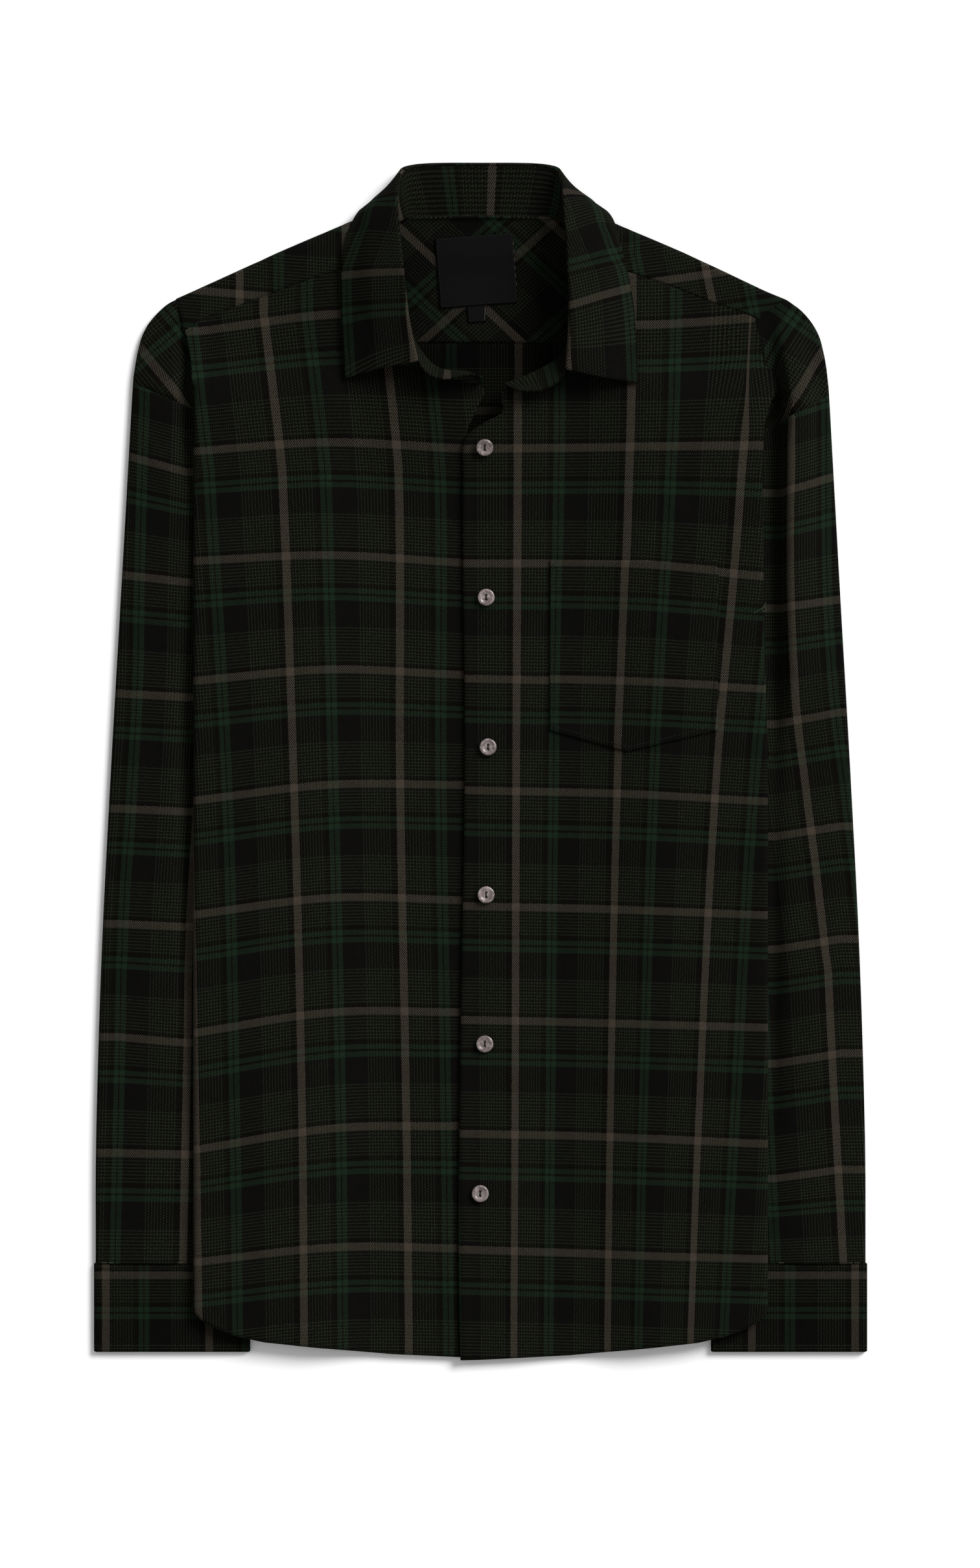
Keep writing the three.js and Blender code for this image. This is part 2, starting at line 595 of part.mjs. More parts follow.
// A leaf section leaves the stand's top edge in line with it, turns over in a round fold and
// falls through its middle to its edge.
function leafGrid() {
  const carriers = standRows.slice(firstCarrier, firstCarrier + leafRows.length);
  const rows = leafRows.map((row, index) => ({ ...carriers[index], ...row }));
  return sections(rows).map((row) => {
    const [below, top] = standSection(row).slice(-2);
    const mid = new THREE.Vector3(row.midX, row.midY, row.midZ);
    const edge = new THREE.Vector3(row.edgeX, row.edgeY, row.edgeZ);
    const rise = top.clone().sub(below).normalize();
    const fall = mid.clone().sub(top);
    fall.addScaledVector(rise, -fall.dot(rise)).normalize();
    const start = top.clone().addScaledVector(rise, collarGap);
    const turned = (turn) =>
      start
        .clone()
        .addScaledVector(fall, leafRoll * (1 - Math.cos(turn)))
        .addScaledVector(rise, leafRoll * Math.sin(turn));
    const roll = rollShares.map((share) => turned(share * Math.PI));
    const fallen = new THREE.CatmullRomCurve3([roll[1], roll[2], mid, mid.clone().lerp(edge, 0.5), edge]);
    return [...roll, ...fallShares.map((share) => fallen.getPoint(share))].map((point) =>
      point.setZ(Math.max(point.z, restLevel)),
    );
  }).reverse();
}

// Chest pocket, made from the front's own points moved out

const pocket = { left: 46.5, right: 158, top: 133.8, corner: 20.6, point: 6.6, middle: 98 };

// The top of the upper front at a place.
const frontTop = (x, y) => frontLevels.left(x, y) + halfCloth;

const pocketSteps = 6; // on each side of the point
const pocketColumns = [
  ...steps(pocket.left, pocket.middle, pocketSteps),
  ...steps(pocket.middle, pocket.right, pocketSteps),
  pocket.right,
];
const pocketGap = seamGap + 0.15; // the front bends under it, so its chords need a little more room
const pocketShares = [0, 0.2, 0.4, 0.6, 0.8, 1];

function pocketGrid() {
  return pocketColumns.map((x) => {
    const reach = x < pocket.middle ? pocket.middle - pocket.left : pocket.right - pocket.middle;
    const low = mix(pocket.point, pocket.corner, Math.abs(x - pocket.middle) / reach);
    return pocketShares.map((share) => {
      const y = mix(low, pocket.top, share);
      return new THREE.Vector3(x, y, frontTop(x, y) + pocketGap + halfCloth);
    });
  });
}

// Neck label and size tab, lying on the inside of the yoke

const label = { x: -2.8, y: 328, wide: 51.5, tall: 46, turn: 0.075, thick: 1 };
const tab = { x: -2.6, y: 299, wide: 11.4, tall: 10, turn: 0.075, thick: 1 };

const patchShares = [-0.5, -0.25, 0, 0.25, 0.5];

function patchGrid(patch) {
  return patchShares.map((u) =>
    patchShares.map((v) => {
      const dx = u * patch.wide;
      const dy = v * patch.tall;
      const x = patch.x + dx * Math.cos(patch.turn) - dy * Math.sin(patch.turn);
      const y = patch.y + dx * Math.sin(patch.turn) + dy * Math.cos(patch.turn);
      return new THREE.Vector3(x, y, yokeLevel(x, y) + (yokeWall + patch.thick) / 2 + seamGap);
    }),
  );
}

// Buttons: a disc with two holes, lying on the upper front

const button = { radius: 5.65, thick: 2.6, holeRadius: 0.85, holeSpread: 1.5, sides: 20, holeSides: 6 };
const buttonGap = seamGap + 0.1;
const buttonPlaces = [
  { x: 2.8, y: 209.6, tip: 0.3 },
  { x: 3.7, y: 109.5, tip: 0 },
  { x: 5, y: 9.5, tip: 0 },
  { x: 3.7, y: -89.2, tip: 0 },
  { x: 2.8, y: -188.8, tip: 0 },
  { x: -0.2, y: -288.8, tip: 0 },
];

function circle(radius, sides, y) {
  const path = new THREE.Path();
  for (let side = 0; side <= sides; side++) {
    const angle = (2 * Math.PI * side) / sides;
    const x = radius * Math.cos(angle);
    if (side === 0) path.moveTo(x, y + radius * Math.sin(angle));
    else path.lineTo(x, y + radius * Math.sin(angle));
  }
  return path;
}

function buttonGeometry() {
  const shape = new THREE.Shape(circle(button.radius, button.sides, 0).getPoints());
  shape.holes.push(circle(button.holeRadius, button.holeSides, button.holeSpread));
  shape.holes.push(circle(button.holeRadius, button.holeSides, -button.holeSpread));
  return new THREE.ExtrudeGeometry(shape, { depth: button.thick, bevelEnabled: false });
}

// The lowest level at which a button's tipped rim clears the front all round.
function buttonSeat({ x, y, tip }) {
  const rim = circle(button.radius, button.sides, 0).getPoints();
  const needed = rim.map((point) => {
    const under = frontTop(x + point.x, y + point.y * Math.cos(tip));
    return under - point.y * Math.sin(tip);
  });
  return Math.max(...needed) + buttonGap;
}

// The shirt as a group of named pieces

const cloth = () => new THREE.MeshStandardMaterial({ color: clothColour, roughness: 0.95, metalness: 0 });
const shell = () => new THREE.MeshStandardMaterial({ color: buttonColour, roughness: 0.3, metalness: 0 });
const woven = () => new THREE.MeshStandardMaterial({ color: labelColour, roughness: 0.7, metalness: 0 });

const group = new THREE.Group();

function addPiece(name, geometry, material) {
  const mesh = new THREE.Mesh(geometry, material);
  mesh.name = name;
  group.add(mesh);
  return mesh;
}

addPiece("back", wallRound(backGrid(), clothWall), cloth());
addPiece("yoke", wallRound(yokeGrid(), yokeWall), cloth());
addPiece("front_right", wallRound(frontGrid("right"), clothWall), cloth());
addPiece("front_left", wallRound(frontGrid("left"), clothWall), cloth());
addPiece("sleeve_right", wallRound(sleeveGrid(-1), clothWall), cloth());
addPiece("sleeve_left", wallRound(sleeveGrid(1), clothWall), cloth());
addPiece("cuff_right", wallRound(cuffGrid(-1), cuffWall, true), cloth());
addPiece("cuff_left", wallRound(cuffGrid(1), cuffWall, true), cloth());
addPiece("collar_stand", wallRound(standGrid(), standWall), cloth());
addPiece("collar_leaf", wallRound(leafGrid(), clothWall), cloth());
addPiece("pocket", wallRound(pocketGrid(), clothWall), cloth());
addPiece("neck_label", wallRound(patchGrid(label), label.thick), woven());
addPiece("size_tab", wallRound(patchGrid(tab), tab.thick), woven());

buttonPlaces.forEach((place, index) => {
  const mesh = addPiece(`button_${index + 1}`, buttonGeometry(), shell());
  mesh.rotation.x = place.tip;
  mesh.position.set(place.x, place.y, buttonSeat(place));
});

export default group;
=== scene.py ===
import math
import bpy
import numpy as np
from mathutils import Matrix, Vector


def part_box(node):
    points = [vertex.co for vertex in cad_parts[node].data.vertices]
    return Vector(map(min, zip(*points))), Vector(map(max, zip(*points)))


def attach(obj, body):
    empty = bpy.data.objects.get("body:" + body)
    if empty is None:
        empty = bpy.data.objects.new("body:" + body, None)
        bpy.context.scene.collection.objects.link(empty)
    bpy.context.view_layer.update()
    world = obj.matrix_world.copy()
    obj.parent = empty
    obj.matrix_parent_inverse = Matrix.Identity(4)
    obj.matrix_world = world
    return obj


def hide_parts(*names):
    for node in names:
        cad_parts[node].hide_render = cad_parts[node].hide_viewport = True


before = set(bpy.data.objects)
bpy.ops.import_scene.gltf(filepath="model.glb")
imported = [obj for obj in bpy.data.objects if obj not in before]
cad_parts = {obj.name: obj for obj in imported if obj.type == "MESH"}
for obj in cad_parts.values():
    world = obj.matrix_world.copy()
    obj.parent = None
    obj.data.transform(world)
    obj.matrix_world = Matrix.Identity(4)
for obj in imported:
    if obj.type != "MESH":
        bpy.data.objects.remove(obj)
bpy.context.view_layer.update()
print("frame loaded:", len(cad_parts), "solids")

# All tables and shapes are in millimetres in the solids' own frame. Meshes are written in metres.
metre = 0.001

clothWall = 1.2
yokeWall = 2.2
standWall = 1.4
cuffWall = 1.8
seamGap = 0.3
layerGap = 0.5
halfCloth = clothWall / 2

levels = {
    "rest": halfCloth,
    "backSide": 10,
    "backRoll": 1.1,
    "hollow": 2.7,
    "hollowLow": 0.8,
    "hollowHigh": 3.7,
    "neckRise": 8.5,
    "sleeveTop": 4.6,
}
sideFoldX = 191.8
sideSeamX = 124
frontRoll = levels["backRoll"] + clothWall + layerGap
foldStartX = sideFoldX - frontRoll - halfCloth


# From 0 at low to 1 at high along t * t * (3 - 2 t).
def ease(low, high, value):
    t = np.clip((value - low) / (high - low), 0, 1)
    return t * t * (3 - 2 * t)


def mix(low, high, share):
    return low + (high - low) * share


# A table as named columns.
def chart(names, *rows):
    return dict(zip(names.split(), np.array(rows, float).T))


# Cubic curves through every row of a chart, with slopes halfway between the neighbours' steps.
def between(rows, place):
    last = len(next(iter(rows.values()))) - 1
    row = np.clip(np.floor(place).astype(int), 0, last - 1)
    t = place - row
    made = {}
    for name, value in rows.items():
        start, end = value[row], value[row + 1]
        before, after = value[np.maximum(row - 1, 0)], value[np.minimum(row + 2, last)]
        leave = np.where(row == 0, end - start, (end - before) / 2)
        arrive = np.where(row + 1 == last, end - start, (after - start) / 2)
        bend = 2 * start - 2 * end + leave + arrive
        turn = 3 * (end - start) - 2 * leave - arrive
        made[name] = ((bend * t + turn) * t + leave) * t + start
    return made


# A two-column table read straight between its rows, and straight on past its ends.
def readOff(rows, x):
    xs, ys = rows["x"], rows["y"]
    first = ys[0] + (x - xs[0]) * (ys[1] - ys[0]) / (xs[1] - xs[0])
    last = ys[-1] + (x - xs[-1]) * (ys[-1] - ys[-2]) / (xs[-1] - xs[-2])
    return np.where(x < xs[0], first, np.where(x > xs[-1], last, np.interp(x, xs, ys)))


# Places along a chart, close enough that no step is longer than the spacing.
def placesAlong(rows, names, spacing):
    path = np.stack([rows[name] for name in names.split()])
    counts = np.maximum(np.ceil(np.abs(np.diff(path)).max(0) / spacing), 1).astype(int)
    parts = [k + np.arange(count) / count for k, count in enumerate(counts)]
    return np.concatenate(parts + [[len(counts)]])


# Straight until the fold starts, half a circle down, then straight back below.
def rolled(length, start, radius, level):
    over = length - start
    turn = np.clip(over / radius, 0, math.pi)
    back = np.maximum(over - math.pi * radius, 0)
    reach = np.minimum(length, start) + radius * np.sin(turn) - back
    return reach, level - radius * (1 - np.cos(turn))


# Lengths along each row of cloth: even up to its fold, close round it, even below it.
def foldLengths(low, start, turned, high, counts):
    flat, round_, under = (np.linspace(0, 1, count + 1)[:, None] for count in counts)
    return np.concatenate([
        mix(low, start, flat),
        mix(start, turned, round_[1:]),
        mix(turned, high, under[1:]),
    ])


# Meshes

def unit(vectors):
    return vectors / np.maximum(np.linalg.norm(vectors, axis=-1, keepdims=True), 1e-9)


# Normals of a grid of points: the slope along its first index crossed with that along its second.
def gridNormals(grid, ring=False):
    if ring:
        along = np.roll(grid, -1, 0) - np.roll(grid, 1, 0)
    else:
        along = np.gradient(grid, axis=0)
    return unit(np.cross(along, np.gradient(grid, axis=1)))


def makeObject(name, vertices, faces, material, uv=None, smooth=True):
    mesh = bpy.data.meshes.new(name)
    mesh.from_pydata((vertices * metre).tolist(), [], faces)
    if uv is not None:
        layer = mesh.uv_layers.new(name="cloth")
        layer.data.foreach_set("uv", np.asarray(uv, np.float32).ravel())
    mesh.polygons.foreach_set("use_smooth", [smooth] * len(mesh.polygons))
    mesh.materials.append(material)
    mesh.update()
    piece = bpy.data.objects.new(name, mesh)
    bpy.context.scene.collection.objects.link(piece)
    return piece


# A sheet of cloth with a wall: the grid moved half a wall out and half a wall in along its normals,
# joined round its edge by a rounded rim that stands out a little past the grid.
def clothSheet(name, grid, wall, material, over, under=None, ring=False, split=None, lining=None):
    across, along = grid.shape[:2]
    normal = gridNormals(grid, ring)
    index = np.arange(across * along).reshape(across, along)
    outer = (grid + normal * wall / 2).reshape(-1, 3)
    inner = (grid - normal * wall / 2).reshape(-1, 3)
    if ring:
        rims = [(index[:, 0], grid[:, 0] - grid[:, 1]), (index[::-1, -1], (grid[:, -1] - grid[:, -2])[::-1])]
    else:
        low, high = grid[:, 0] - grid[:, 1], grid[:, -1] - grid[:, -2]
        left, right = grid[0] - grid[1], grid[-1] - grid[-2]
        low[0] += left[0]
        low[-1] += right[0]
        high[0] += left[-1]
        high[-1] += right[-1]
        path = np.concatenate([index[:, 0], index[-1, 1:], index[-2::-1, -1], index[0, -2:0:-1]])
        outwards = np.concatenate([low, right[1:-1], high[::-1], left[-2:0:-1]])
        rims = [(path, outwards)]
    vertices = [outer, inner]
    count = 2 * across * along
    faces = []
    texture = []
    wrap = index if not ring else np.concatenate([index, index[:1]])
    a, b, c, d = wrap[:-1, :-1], wrap[1:, :-1], wrap[1:, 1:], wrap[:-1, 1:]
    quads = np.stack([a, b, c, d], -1)
    upper = over.reshape(-1, 2)
    lower = upper if under is None else under.reshape(-1, 2)
    faces.append(quads.reshape(-1, 4))
    if split is None:
        texture.append(upper[quads.reshape(-1, 4)])
        texture.append(lower[quads[..., ::-1].reshape(-1, 4)])
    else:
        other = split["uv"].reshape(-1, 2)
        chosen = np.where((np.arange(quads.shape[1]) >= split["from"])[None, :, None, None], other[quads], upper[quads])
        texture.append(chosen.reshape(-1, 4, 2))
        texture.append(chosen[..., ::-1, :].reshape(-1, 4, 2))
    faces.append(quads[..., ::-1].reshape(-1, 4) + across * along)
    for path, outwards in rims:
        size = len(path)
        flat = grid.reshape(-1, 3)[path]
        vertices.append(flat + unit(outwards) * wall * 0.32)
        middle = count + np.arange(size)
        count += size
        after = np.roll(path, -1)
        middleAfter = np.roll(middle, -1)
        faces.append(np.stack([after, path, middle, middleAfter], -1))
        faces.append(np.stack([middleAfter, middle, path + across * along, after + across * along], -1))
        rimUv = upper[np.stack([after, path, path, after], -1)]
        texture.extend([rimUv, lower[np.stack([after, path, path, after], -1)]])
    piece = makeObject(
        name,
        np.concatenate(vertices),
        np.concatenate(faces).tolist(),
        material,
        np.concatenate([t.reshape(-1, 4, 2) for t in texture]),
    )
    # A second material for the first layer's faces: here the darker copies of the plaid, painted shade for cloth that
    # lies in shadow inside the shirt.
    if lining is not None:
        piece.data.materials.append(lining)
        piece.data.polygons.foreach_set("material_index", (np.arange(len(piece.data.polygons)) < len(faces[0])).astype(int))
    return piece


# Materials

# A shader socket on which Python's operators add Math nodes.
class Wire:
    def __init__(self, maker, socket):
        self.maker = maker
        self.socket = socket

    def math(self, operation, *values):
        return self.maker.node("ShaderNodeMath", {"operation": operation}, dict(enumerate(values)))

    def __add__(self, other):
        return self.math("ADD", self, other)

    def __radd__(self, other):
        return self.math("ADD", other, self)

    def __sub__(self, other):
        return self.math("SUBTRACT", self, other)

    def __rsub__(self, other):
        return self.math("SUBTRACT", other, self)

    def __mul__(self, other):
        return self.math("MULTIPLY", self, other)

    def __rmul__(self, other):
        return self.math("MULTIPLY", other, self)

    def fraction(self):
        return self.math("FRACT", self)

    def above(self, low, high):  # 0 below low, 1 above high, eased between
        inputs = {"Value": self, "From Min": low, "From Max": high}
        return self.maker.node("ShaderNodeMapRange", {"interpolation_type": "SMOOTHSTEP"}, inputs)


# Adds nodes to one material. Settings come first, then values or wires for the sockets.
class NodeMaker:
    def __init__(self, name):
        self.material = bpy.data.materials.new(name)
        self.material.use_nodes = True
        self.tree = self.material.node_tree
        self.shader = self.tree.nodes["Principled BSDF"]

    def put(self, socket, value):
        if isinstance(value, Wire):
            self.tree.links.new(value.socket, socket)
        else:
            socket.default_value = value

    def node(self, kind, settings=None, inputs=None, out=0):
        made = self.tree.nodes.new(kind)
        for name, value in (settings or {}).items():
            if name == "stops":
                for position, colour in value[2:]:
                    made.color_ramp.elements.new(position)
                for element, (position, colour) in zip(made.color_ramp.elements, value):
                    element.position = position
                    element.color = colour
            elif name == "interpolation" and kind == "ShaderNodeValToRGB":
                made.color_ramp.interpolation = value
            else:
                setattr(made, name, value)
        for name, value in (inputs or {}).items():
            self.put(made.inputs[name], value)
        return Wire(self, made.outputs[out])

    def blend(self, share, low, high, mode="MIX"):
        settings = {"data_type": "RGBA", "blend_type": mode, "clamp_factor": True}
        made = self.tree.nodes.new("ShaderNodeMix")
        for name, value in settings.items():
            setattr(made, name, value)
        self.put(made.inputs[0], share)
        self.put(made.inputs[6], low)
        self.put(made.inputs[7], high)
        return Wire(self, made.outputs[2])

    def finish(self, inputs):
        for name, value in inputs.items():
            self.put(self.shader.inputs[name], value)
        return self.material


# The woven stripes of one repeat: how many threads of each yarn, in order. In "check", lines of two
# light threads lie on dark ones.
yarns = {
    "beige": (0.0425, 0.0345, 0.0262, 1),
    "weftBeige": (0.0335, 0.0277, 0.0212, 1),
    "green": (0.0070, 0.0140, 0.0080, 1),
    "navy": (0.0030, 0.0028, 0.0026, 1),
    "dark": (0.0027, 0.0024, 0.0017, 1),
    "warpLight": (0.0112, 0.0146, 0.0094, 1),
    "weftLight": (0.0106, 0.0136, 0.0086, 1),
}
warpStripes = [
    ("beige", 16), ("dark", 3), ("check", 48), ("dark", 9), ("green", 9), ("dark", 3),
    ("green", 10), ("navy", 47), ("check", 59), ("dark", 10),
]
weftStripes = [
    ("weftBeige", 11), ("check", 38), ("dark", 7), ("green", 7), ("dark", 4), ("green", 8),
    ("navy", 41), ("check", 52), ("dark", 7),
]
checkLines = {"warp": {"every": 6, "first": 12}, "weft": {"every": 5, "first": 6.5}}  # in threads
warpRepeat = 71.5  # millimetres from beige to beige across the cloth
weftRepeat = 77.0


def threadCount(stripes):
    return sum(count for yarn, count in stripes)


# One system of threads: a ramp of yarn colours over the repeat, with the check's light threads laid in.
def threadColour(maker, place, stripes, light, lines):
    total = threadCount(stripes)
    stops = []
    passed = -stripes[0][1] / 2  # a whole number of repeats is the middle of the beige stripe
    for yarn, count in stripes:
        shown = yarns["dark"] if yarn == "check" else yarns[yarn]
        stops.append((max(passed / total, 0), (*shown[:3], 1.0 if yarn == "check" else 0.0)))
        passed += count
    stops.append((passed / total, (*yarns[stripes[0][0]][:3], 0.0)))
    settings = {"interpolation": "CONSTANT", "stops": stops}
    inputs = {"Fac": place.fraction()}
    ramp = maker.node("ShaderNodeValToRGB", settings, inputs)
    inCheck = Wire(maker, ramp.socket.node.outputs["Alpha"])
    every = lines["every"]
    fromLine = place.fraction() * (total / every) - lines["first"] / every
    away = fromLine.math("PINGPONG", fromLine, 0.5)
    line = 1 - away.above(0.6 / every, 1.4 / every)
    return maker.blend(line * inCheck, ramp, light)


# Brushed twill: warp shows over weft where the counts of threads, taken together, fall in the first half
# of every four, so the ribs rise to the right. Nap and uneven yarn come from noise.
def flannel(name, tone=1.0):
    maker = NodeMaker(name)
    uv = maker.node("ShaderNodeUVMap", {"uv_map": "cloth"})
    parts = maker.node("ShaderNodeSeparateXYZ", None, {"Vector": uv})
    across = Wire(maker, parts.socket.node.outputs["X"])
    along = Wire(maker, parts.socket.node.outputs["Y"])
    place = maker.node("ShaderNodeTexCoord", None, None, 3)
    slub = maker.node("ShaderNodeTexNoise", None, {"Vector": place, "Scale": 700.0, "Detail": 1.0})
    waver = maker.node("ShaderNodeTexNoise", None, {"Vector": place, "Scale": 420.0, "Detail": 1.0})
    across = across + (waver - 0.5) * 0.009  # threads are never quite straight
    along = along + (slub - 0.5) * 0.009
    warp = threadColour(maker, across, warpStripes, yarns["warpLight"], checkLines["warp"])
    weft = threadColour(maker, along, weftStripes, yarns["weftLight"], checkLines["weft"])
    twill = (across * threadCount(warpStripes) + along * threadCount(weftStripes)) * 0.25
    ridge = twill.math("PINGPONG", twill.fraction(), 0.5)
    warpOnTop = ridge.above(0.17, 0.33)
    woven = maker.blend(warpOnTop, weft, warp)
    fibre = maker.node("ShaderNodeTexNoise", None, {"Vector": place, "Scale": 2600.0, "Detail": 2.0})
    cloudy = maker.node("ShaderNodeTexNoise", None, {"Vector": place, "Scale": 90.0, "Detail": 3.0})
    # tone scales the whole colour; the darker yoke and back copies use it as painted shade.
    shade = (fibre * 0.8 + slub * 0.5 + cloudy * 0.25 + 0.225) * tone
    grey = maker.node("ShaderNodeCombineColor", None, {0: shade, 1: shade, 2: shade})
    colour = maker.blend(1.0, woven, grey, "MULTIPLY")
    height = ridge * 0.5 + fibre * 0.5
    bump = maker.node("ShaderNodeBump", None, {"Strength": 0.35, "Distance": 0.00025, "Height": height})
    return maker.finish({
        "Base Color": colour,
        "Roughness": 0.95,
        "Specular IOR Level": 0.01,
        "Sheen Weight": 0.004,
        "Sheen Roughness": 0.5,
        "Normal": bump,
    })


plaid = flannel("plaid_flannel")
shadedLiningPlaid = flannel("shaded_lining_flannel", 0.74)  # a darker copy of the plaid: painted shade on the inner yoke, which lies in the collar's shadow
shadedInsidePlaid = flannel("shaded_inside_flannel", 0.5)  # a half-dark copy of the plaid: painted shade on the inside of the back, seen deep in the neck
bandPlaid = flannel("band_flannel", 0.86)  # the cuffs and the stand, pressed flat over their interlining
print("cloth material made")


# Plaid places. A chart of beige lines gives where each line lies at a few stations; a place has the
# number of lines passed, plus its share of the gap to the next one.
def countLines(stations, lines, station, place):
    steps = np.interp(station, stations, np.arange(len(stations)))
    at = np.stack(list(between({k: np.array(line, float) for k, line in enumerate(lines)}, steps).values()))
    gaps = at[1:] - at[:-1]
    inside = np.clip((place - at[:-1]) / gaps, 0, 1).sum(0)
    before = np.minimum((place - at[0]) / gaps[0], 0)
    after = np.maximum((place - at[-1]) / gaps[-1], 0)
    return inside + before + after


# Levels of the body's layers, as in the solids

sideSlope = {"inX": 62, "outX": 116, "lowY": 238, "highY": 276}
neckRim = {"y": 300, "wide": 62, "long": 52, "slopeEnd": 2.6}
overSlope = {"fromX": 24, "toX": 58}
placketRim = {"x": -12, "wide": 4.5, "lift": 0.9}  # the turned edge stands up a little


def sideShare(x, y):
    out = ease(sideSlope["inX"], sideSlope["outX"], np.abs(x))
    return out * (1 - ease(sideSlope["lowY"], sideSlope["highY"], y))


# Where the side fold begins. It opens out towards the armhole, and on the wearer's left it is drawn in below.
foldStarts = {
    "right": chart("y x", (250, foldStartX), (256, 193), (262, 209), (268, foldStartX + 30)),
    "left": chart("y x", (40, foldStartX), (110, 186), (200, 184.6), (226, 186), (240, 190.4), (250, 196), (262, 218)),
    "back": chart("y x", (40, foldStartX), (110, 185), (200, 183.8), (236, 184), (250, 188.4), (256, 193), (268, 218)),
}


def foldStart(y, side):
    return np.interp(y, foldStarts[side]["y"], foldStarts[side]["x"])


def backLevel(x, y):
    return mix(levels["rest"], levels["backSide"], sideShare(x, y))


longWaves = chart(
    "x y wide long lean height",
    (-70, 120, 26, 130, 0.06, 1.0),
    (-112, -120, 22, 150, -0.05, -1.1),
    (-48, -250, 20, 110, 0.08, 0.9),
    (74, -60, 24, 120, -0.07, 1.0),
    (40, -210, 18, 130, 0.05, -1.2),
    (92, -300, 20, 90, -0.1, 0.9),
    (-24, 20, 16, 140, 0.02, -0.9),
)

# Softer troughs and ridges that a brushed cloth keeps when it is laid down
frontCreases = chart(
    "x y wide long lean height",
    (-158, 196, 9, 46, 0.42, 0.55),
    (-140, 168, 8, 38, 0.55, -0.4),
    (-172, 120, 7, 60, 0.12, 0.4),
    (-96, 232, 10, 34, -0.5, 0.5),
    (-118, 60, 12, 90, 0.04, 0.45),
    (-166, -40, 9, 80, -0.06, -0.4),
    (-88, -176, 11, 70, 0.1, 0.45),
    (-150, -240, 10, 62, -0.12, 0.5),
    (-34, -120, 9, 84, 0.05, -0.35),
    (-60, -338, 12, 40, 0.22, 0.4),
    (-36, 176, 9, 42, -0.3, 0.4),
    (160, 204, 9, 44, -0.46, 0.6),
    (142, 172, 8, 40, -0.6, -0.45),
    (176, 118, 7, 66, -0.08, 0.4),
    (96, 236, 11, 36, 0.5, 0.45),
    (122, -52, 11, 86, -0.05, 0.5),
    (168, -150, 9, 76, 0.08, -0.45),
    (66, -150, 12, 78, -0.04, 0.4),
    (140, -262, 10, 60, 0.12, 0.5),
    (52, -318, 11, 48, -0.2, 0.4),
    (28, 60, 10, 70, 0.03, 0.3),
    (110, -210, 9, 50, -0.14, -0.35),
)


# Each wave is a bell across its leaning line times a bell along it.
def waveHeight(waves, x, y):
    total = np.zeros(np.broadcast(x, y).shape)
    for wave in zip(*waves.values()):
        wx, wy, wide, long, lean, height = wave
        total += height * np.exp(-((x - wx - lean * (y - wy)) / wide) ** 2 - ((y - wy) / long) ** 2)
    return total


def neckLift(x, y):
    distance = np.hypot(x / neckRim["wide"], (y - neckRim["y"]) / neckRim["long"])
    return levels["neckRise"] * (1 - ease(1, neckRim["slopeEnd"], distance))


def frontLevel(x, y):
    hollow = np.clip(levels["hollow"] + waveHeight(longWaves, x, y), levels["hollowLow"], levels["hollowHigh"])
    gap = mix(hollow, layerGap, sideShare(x, y))
    return backLevel(x, y) + clothWall + gap + neckLift(x, y)


def overLift(x):
    lift = (clothWall + layerGap) * (1 - ease(overSlope["fromX"], overSlope["toX"], x))
    return lift + placketRim["lift"] * np.exp(-((x - placketRim["x"]) / placketRim["wide"]) ** 2)


# Creases fade out towards the button stand, so the buttons keep their seats.
def frontCrease(x, y):
    return waveHeight(frontCreases, x, y) * ease(14, 40, np.abs(x))


# The wearer's left front runs on down into the armhole.
armholeDrop = {"inX": 180, "outX": 203, "lowY": 212, "highY": 238, "endY": 262, "topY": 288, "deep": 5.2}


def armholeDip(x, y):
    drop = armholeDrop
    along = ease(drop["lowY"], drop["highY"], y) * (1 - ease(drop["endY"], drop["topY"], y))
    return drop["deep"] * ease(drop["inX"], drop["outX"], x) * along


# On the wearer's right the seam stands up beside the cap.
armholeSwell = {"inX": -180, "outX": -193, "lowY": 244, "highY": 256, "lift": 2.5}


def armholeRim(x, y):
    swell = armholeSwell
    return swell["lift"] * ease(-swell["inX"], -swell["outX"], -x) * ease(swell["lowY"], swell["highY"], y)


def sideLevel(side, x, y):
    lift = overLift(x) - armholeDip(x, y) if side == "left" else armholeRim(x, y)
    return frontLevel(x, y) + lift + frontCrease(x, y)


# Fronts

hem = chart(
    "x y",
    (-20, -400), (0, -399.6), (60, -397), (113, -392), (145, -388.6), (163, -384.6),
    (176, -380), (185, -375), (192, -368), (202, -352), (225, -322), (264, -300),
)
yokeFrontSeam = chart(
    "x y",
    (58, 338), (84, 330.5), (106, 324.5), (131, 316), (157, 306), (176, 300), (187, 294.5), (198, 287),
)
frontSeamEnd = 2 * foldStartX + math.pi * frontRoll - sideSeamX
underEdgeX = 17
outerEdges = {
    "right": chart(
        "steps outX outY",
        (2, frontSeamEnd, -300), (3, frontSeamEnd, -215), (3, frontSeamEnd, -90), (2, frontSeamEnd, 20),
        (2, frontSeamEnd, 95), (2, 226, 178), (1, 204, 226), (1, 197.4, 240), (1, 193.8, 248),
        (1, 192.6, 256), (1, 192.8, 263), (1, 193.6, 270), (2, 194.9, 278), (0, 197.2, 287.7),
    ),
    "left": chart(
        "steps outX outY",
        (2, frontSeamEnd, -300), (3, frontSeamEnd, -215), (3, frontSeamEnd, -90), (2, frontSeamEnd, 20),
        (2, frontSeamEnd, 95), (2, 226, 178), (1, 208, 220), (1, 203.4, 234), (1, 200.6, 244),
        (1, 198.6, 253), (1, 196.6, 262), (1, 194.2, 271), (2, 190.4, 281), (0, 184, 295.6),
    ),
}
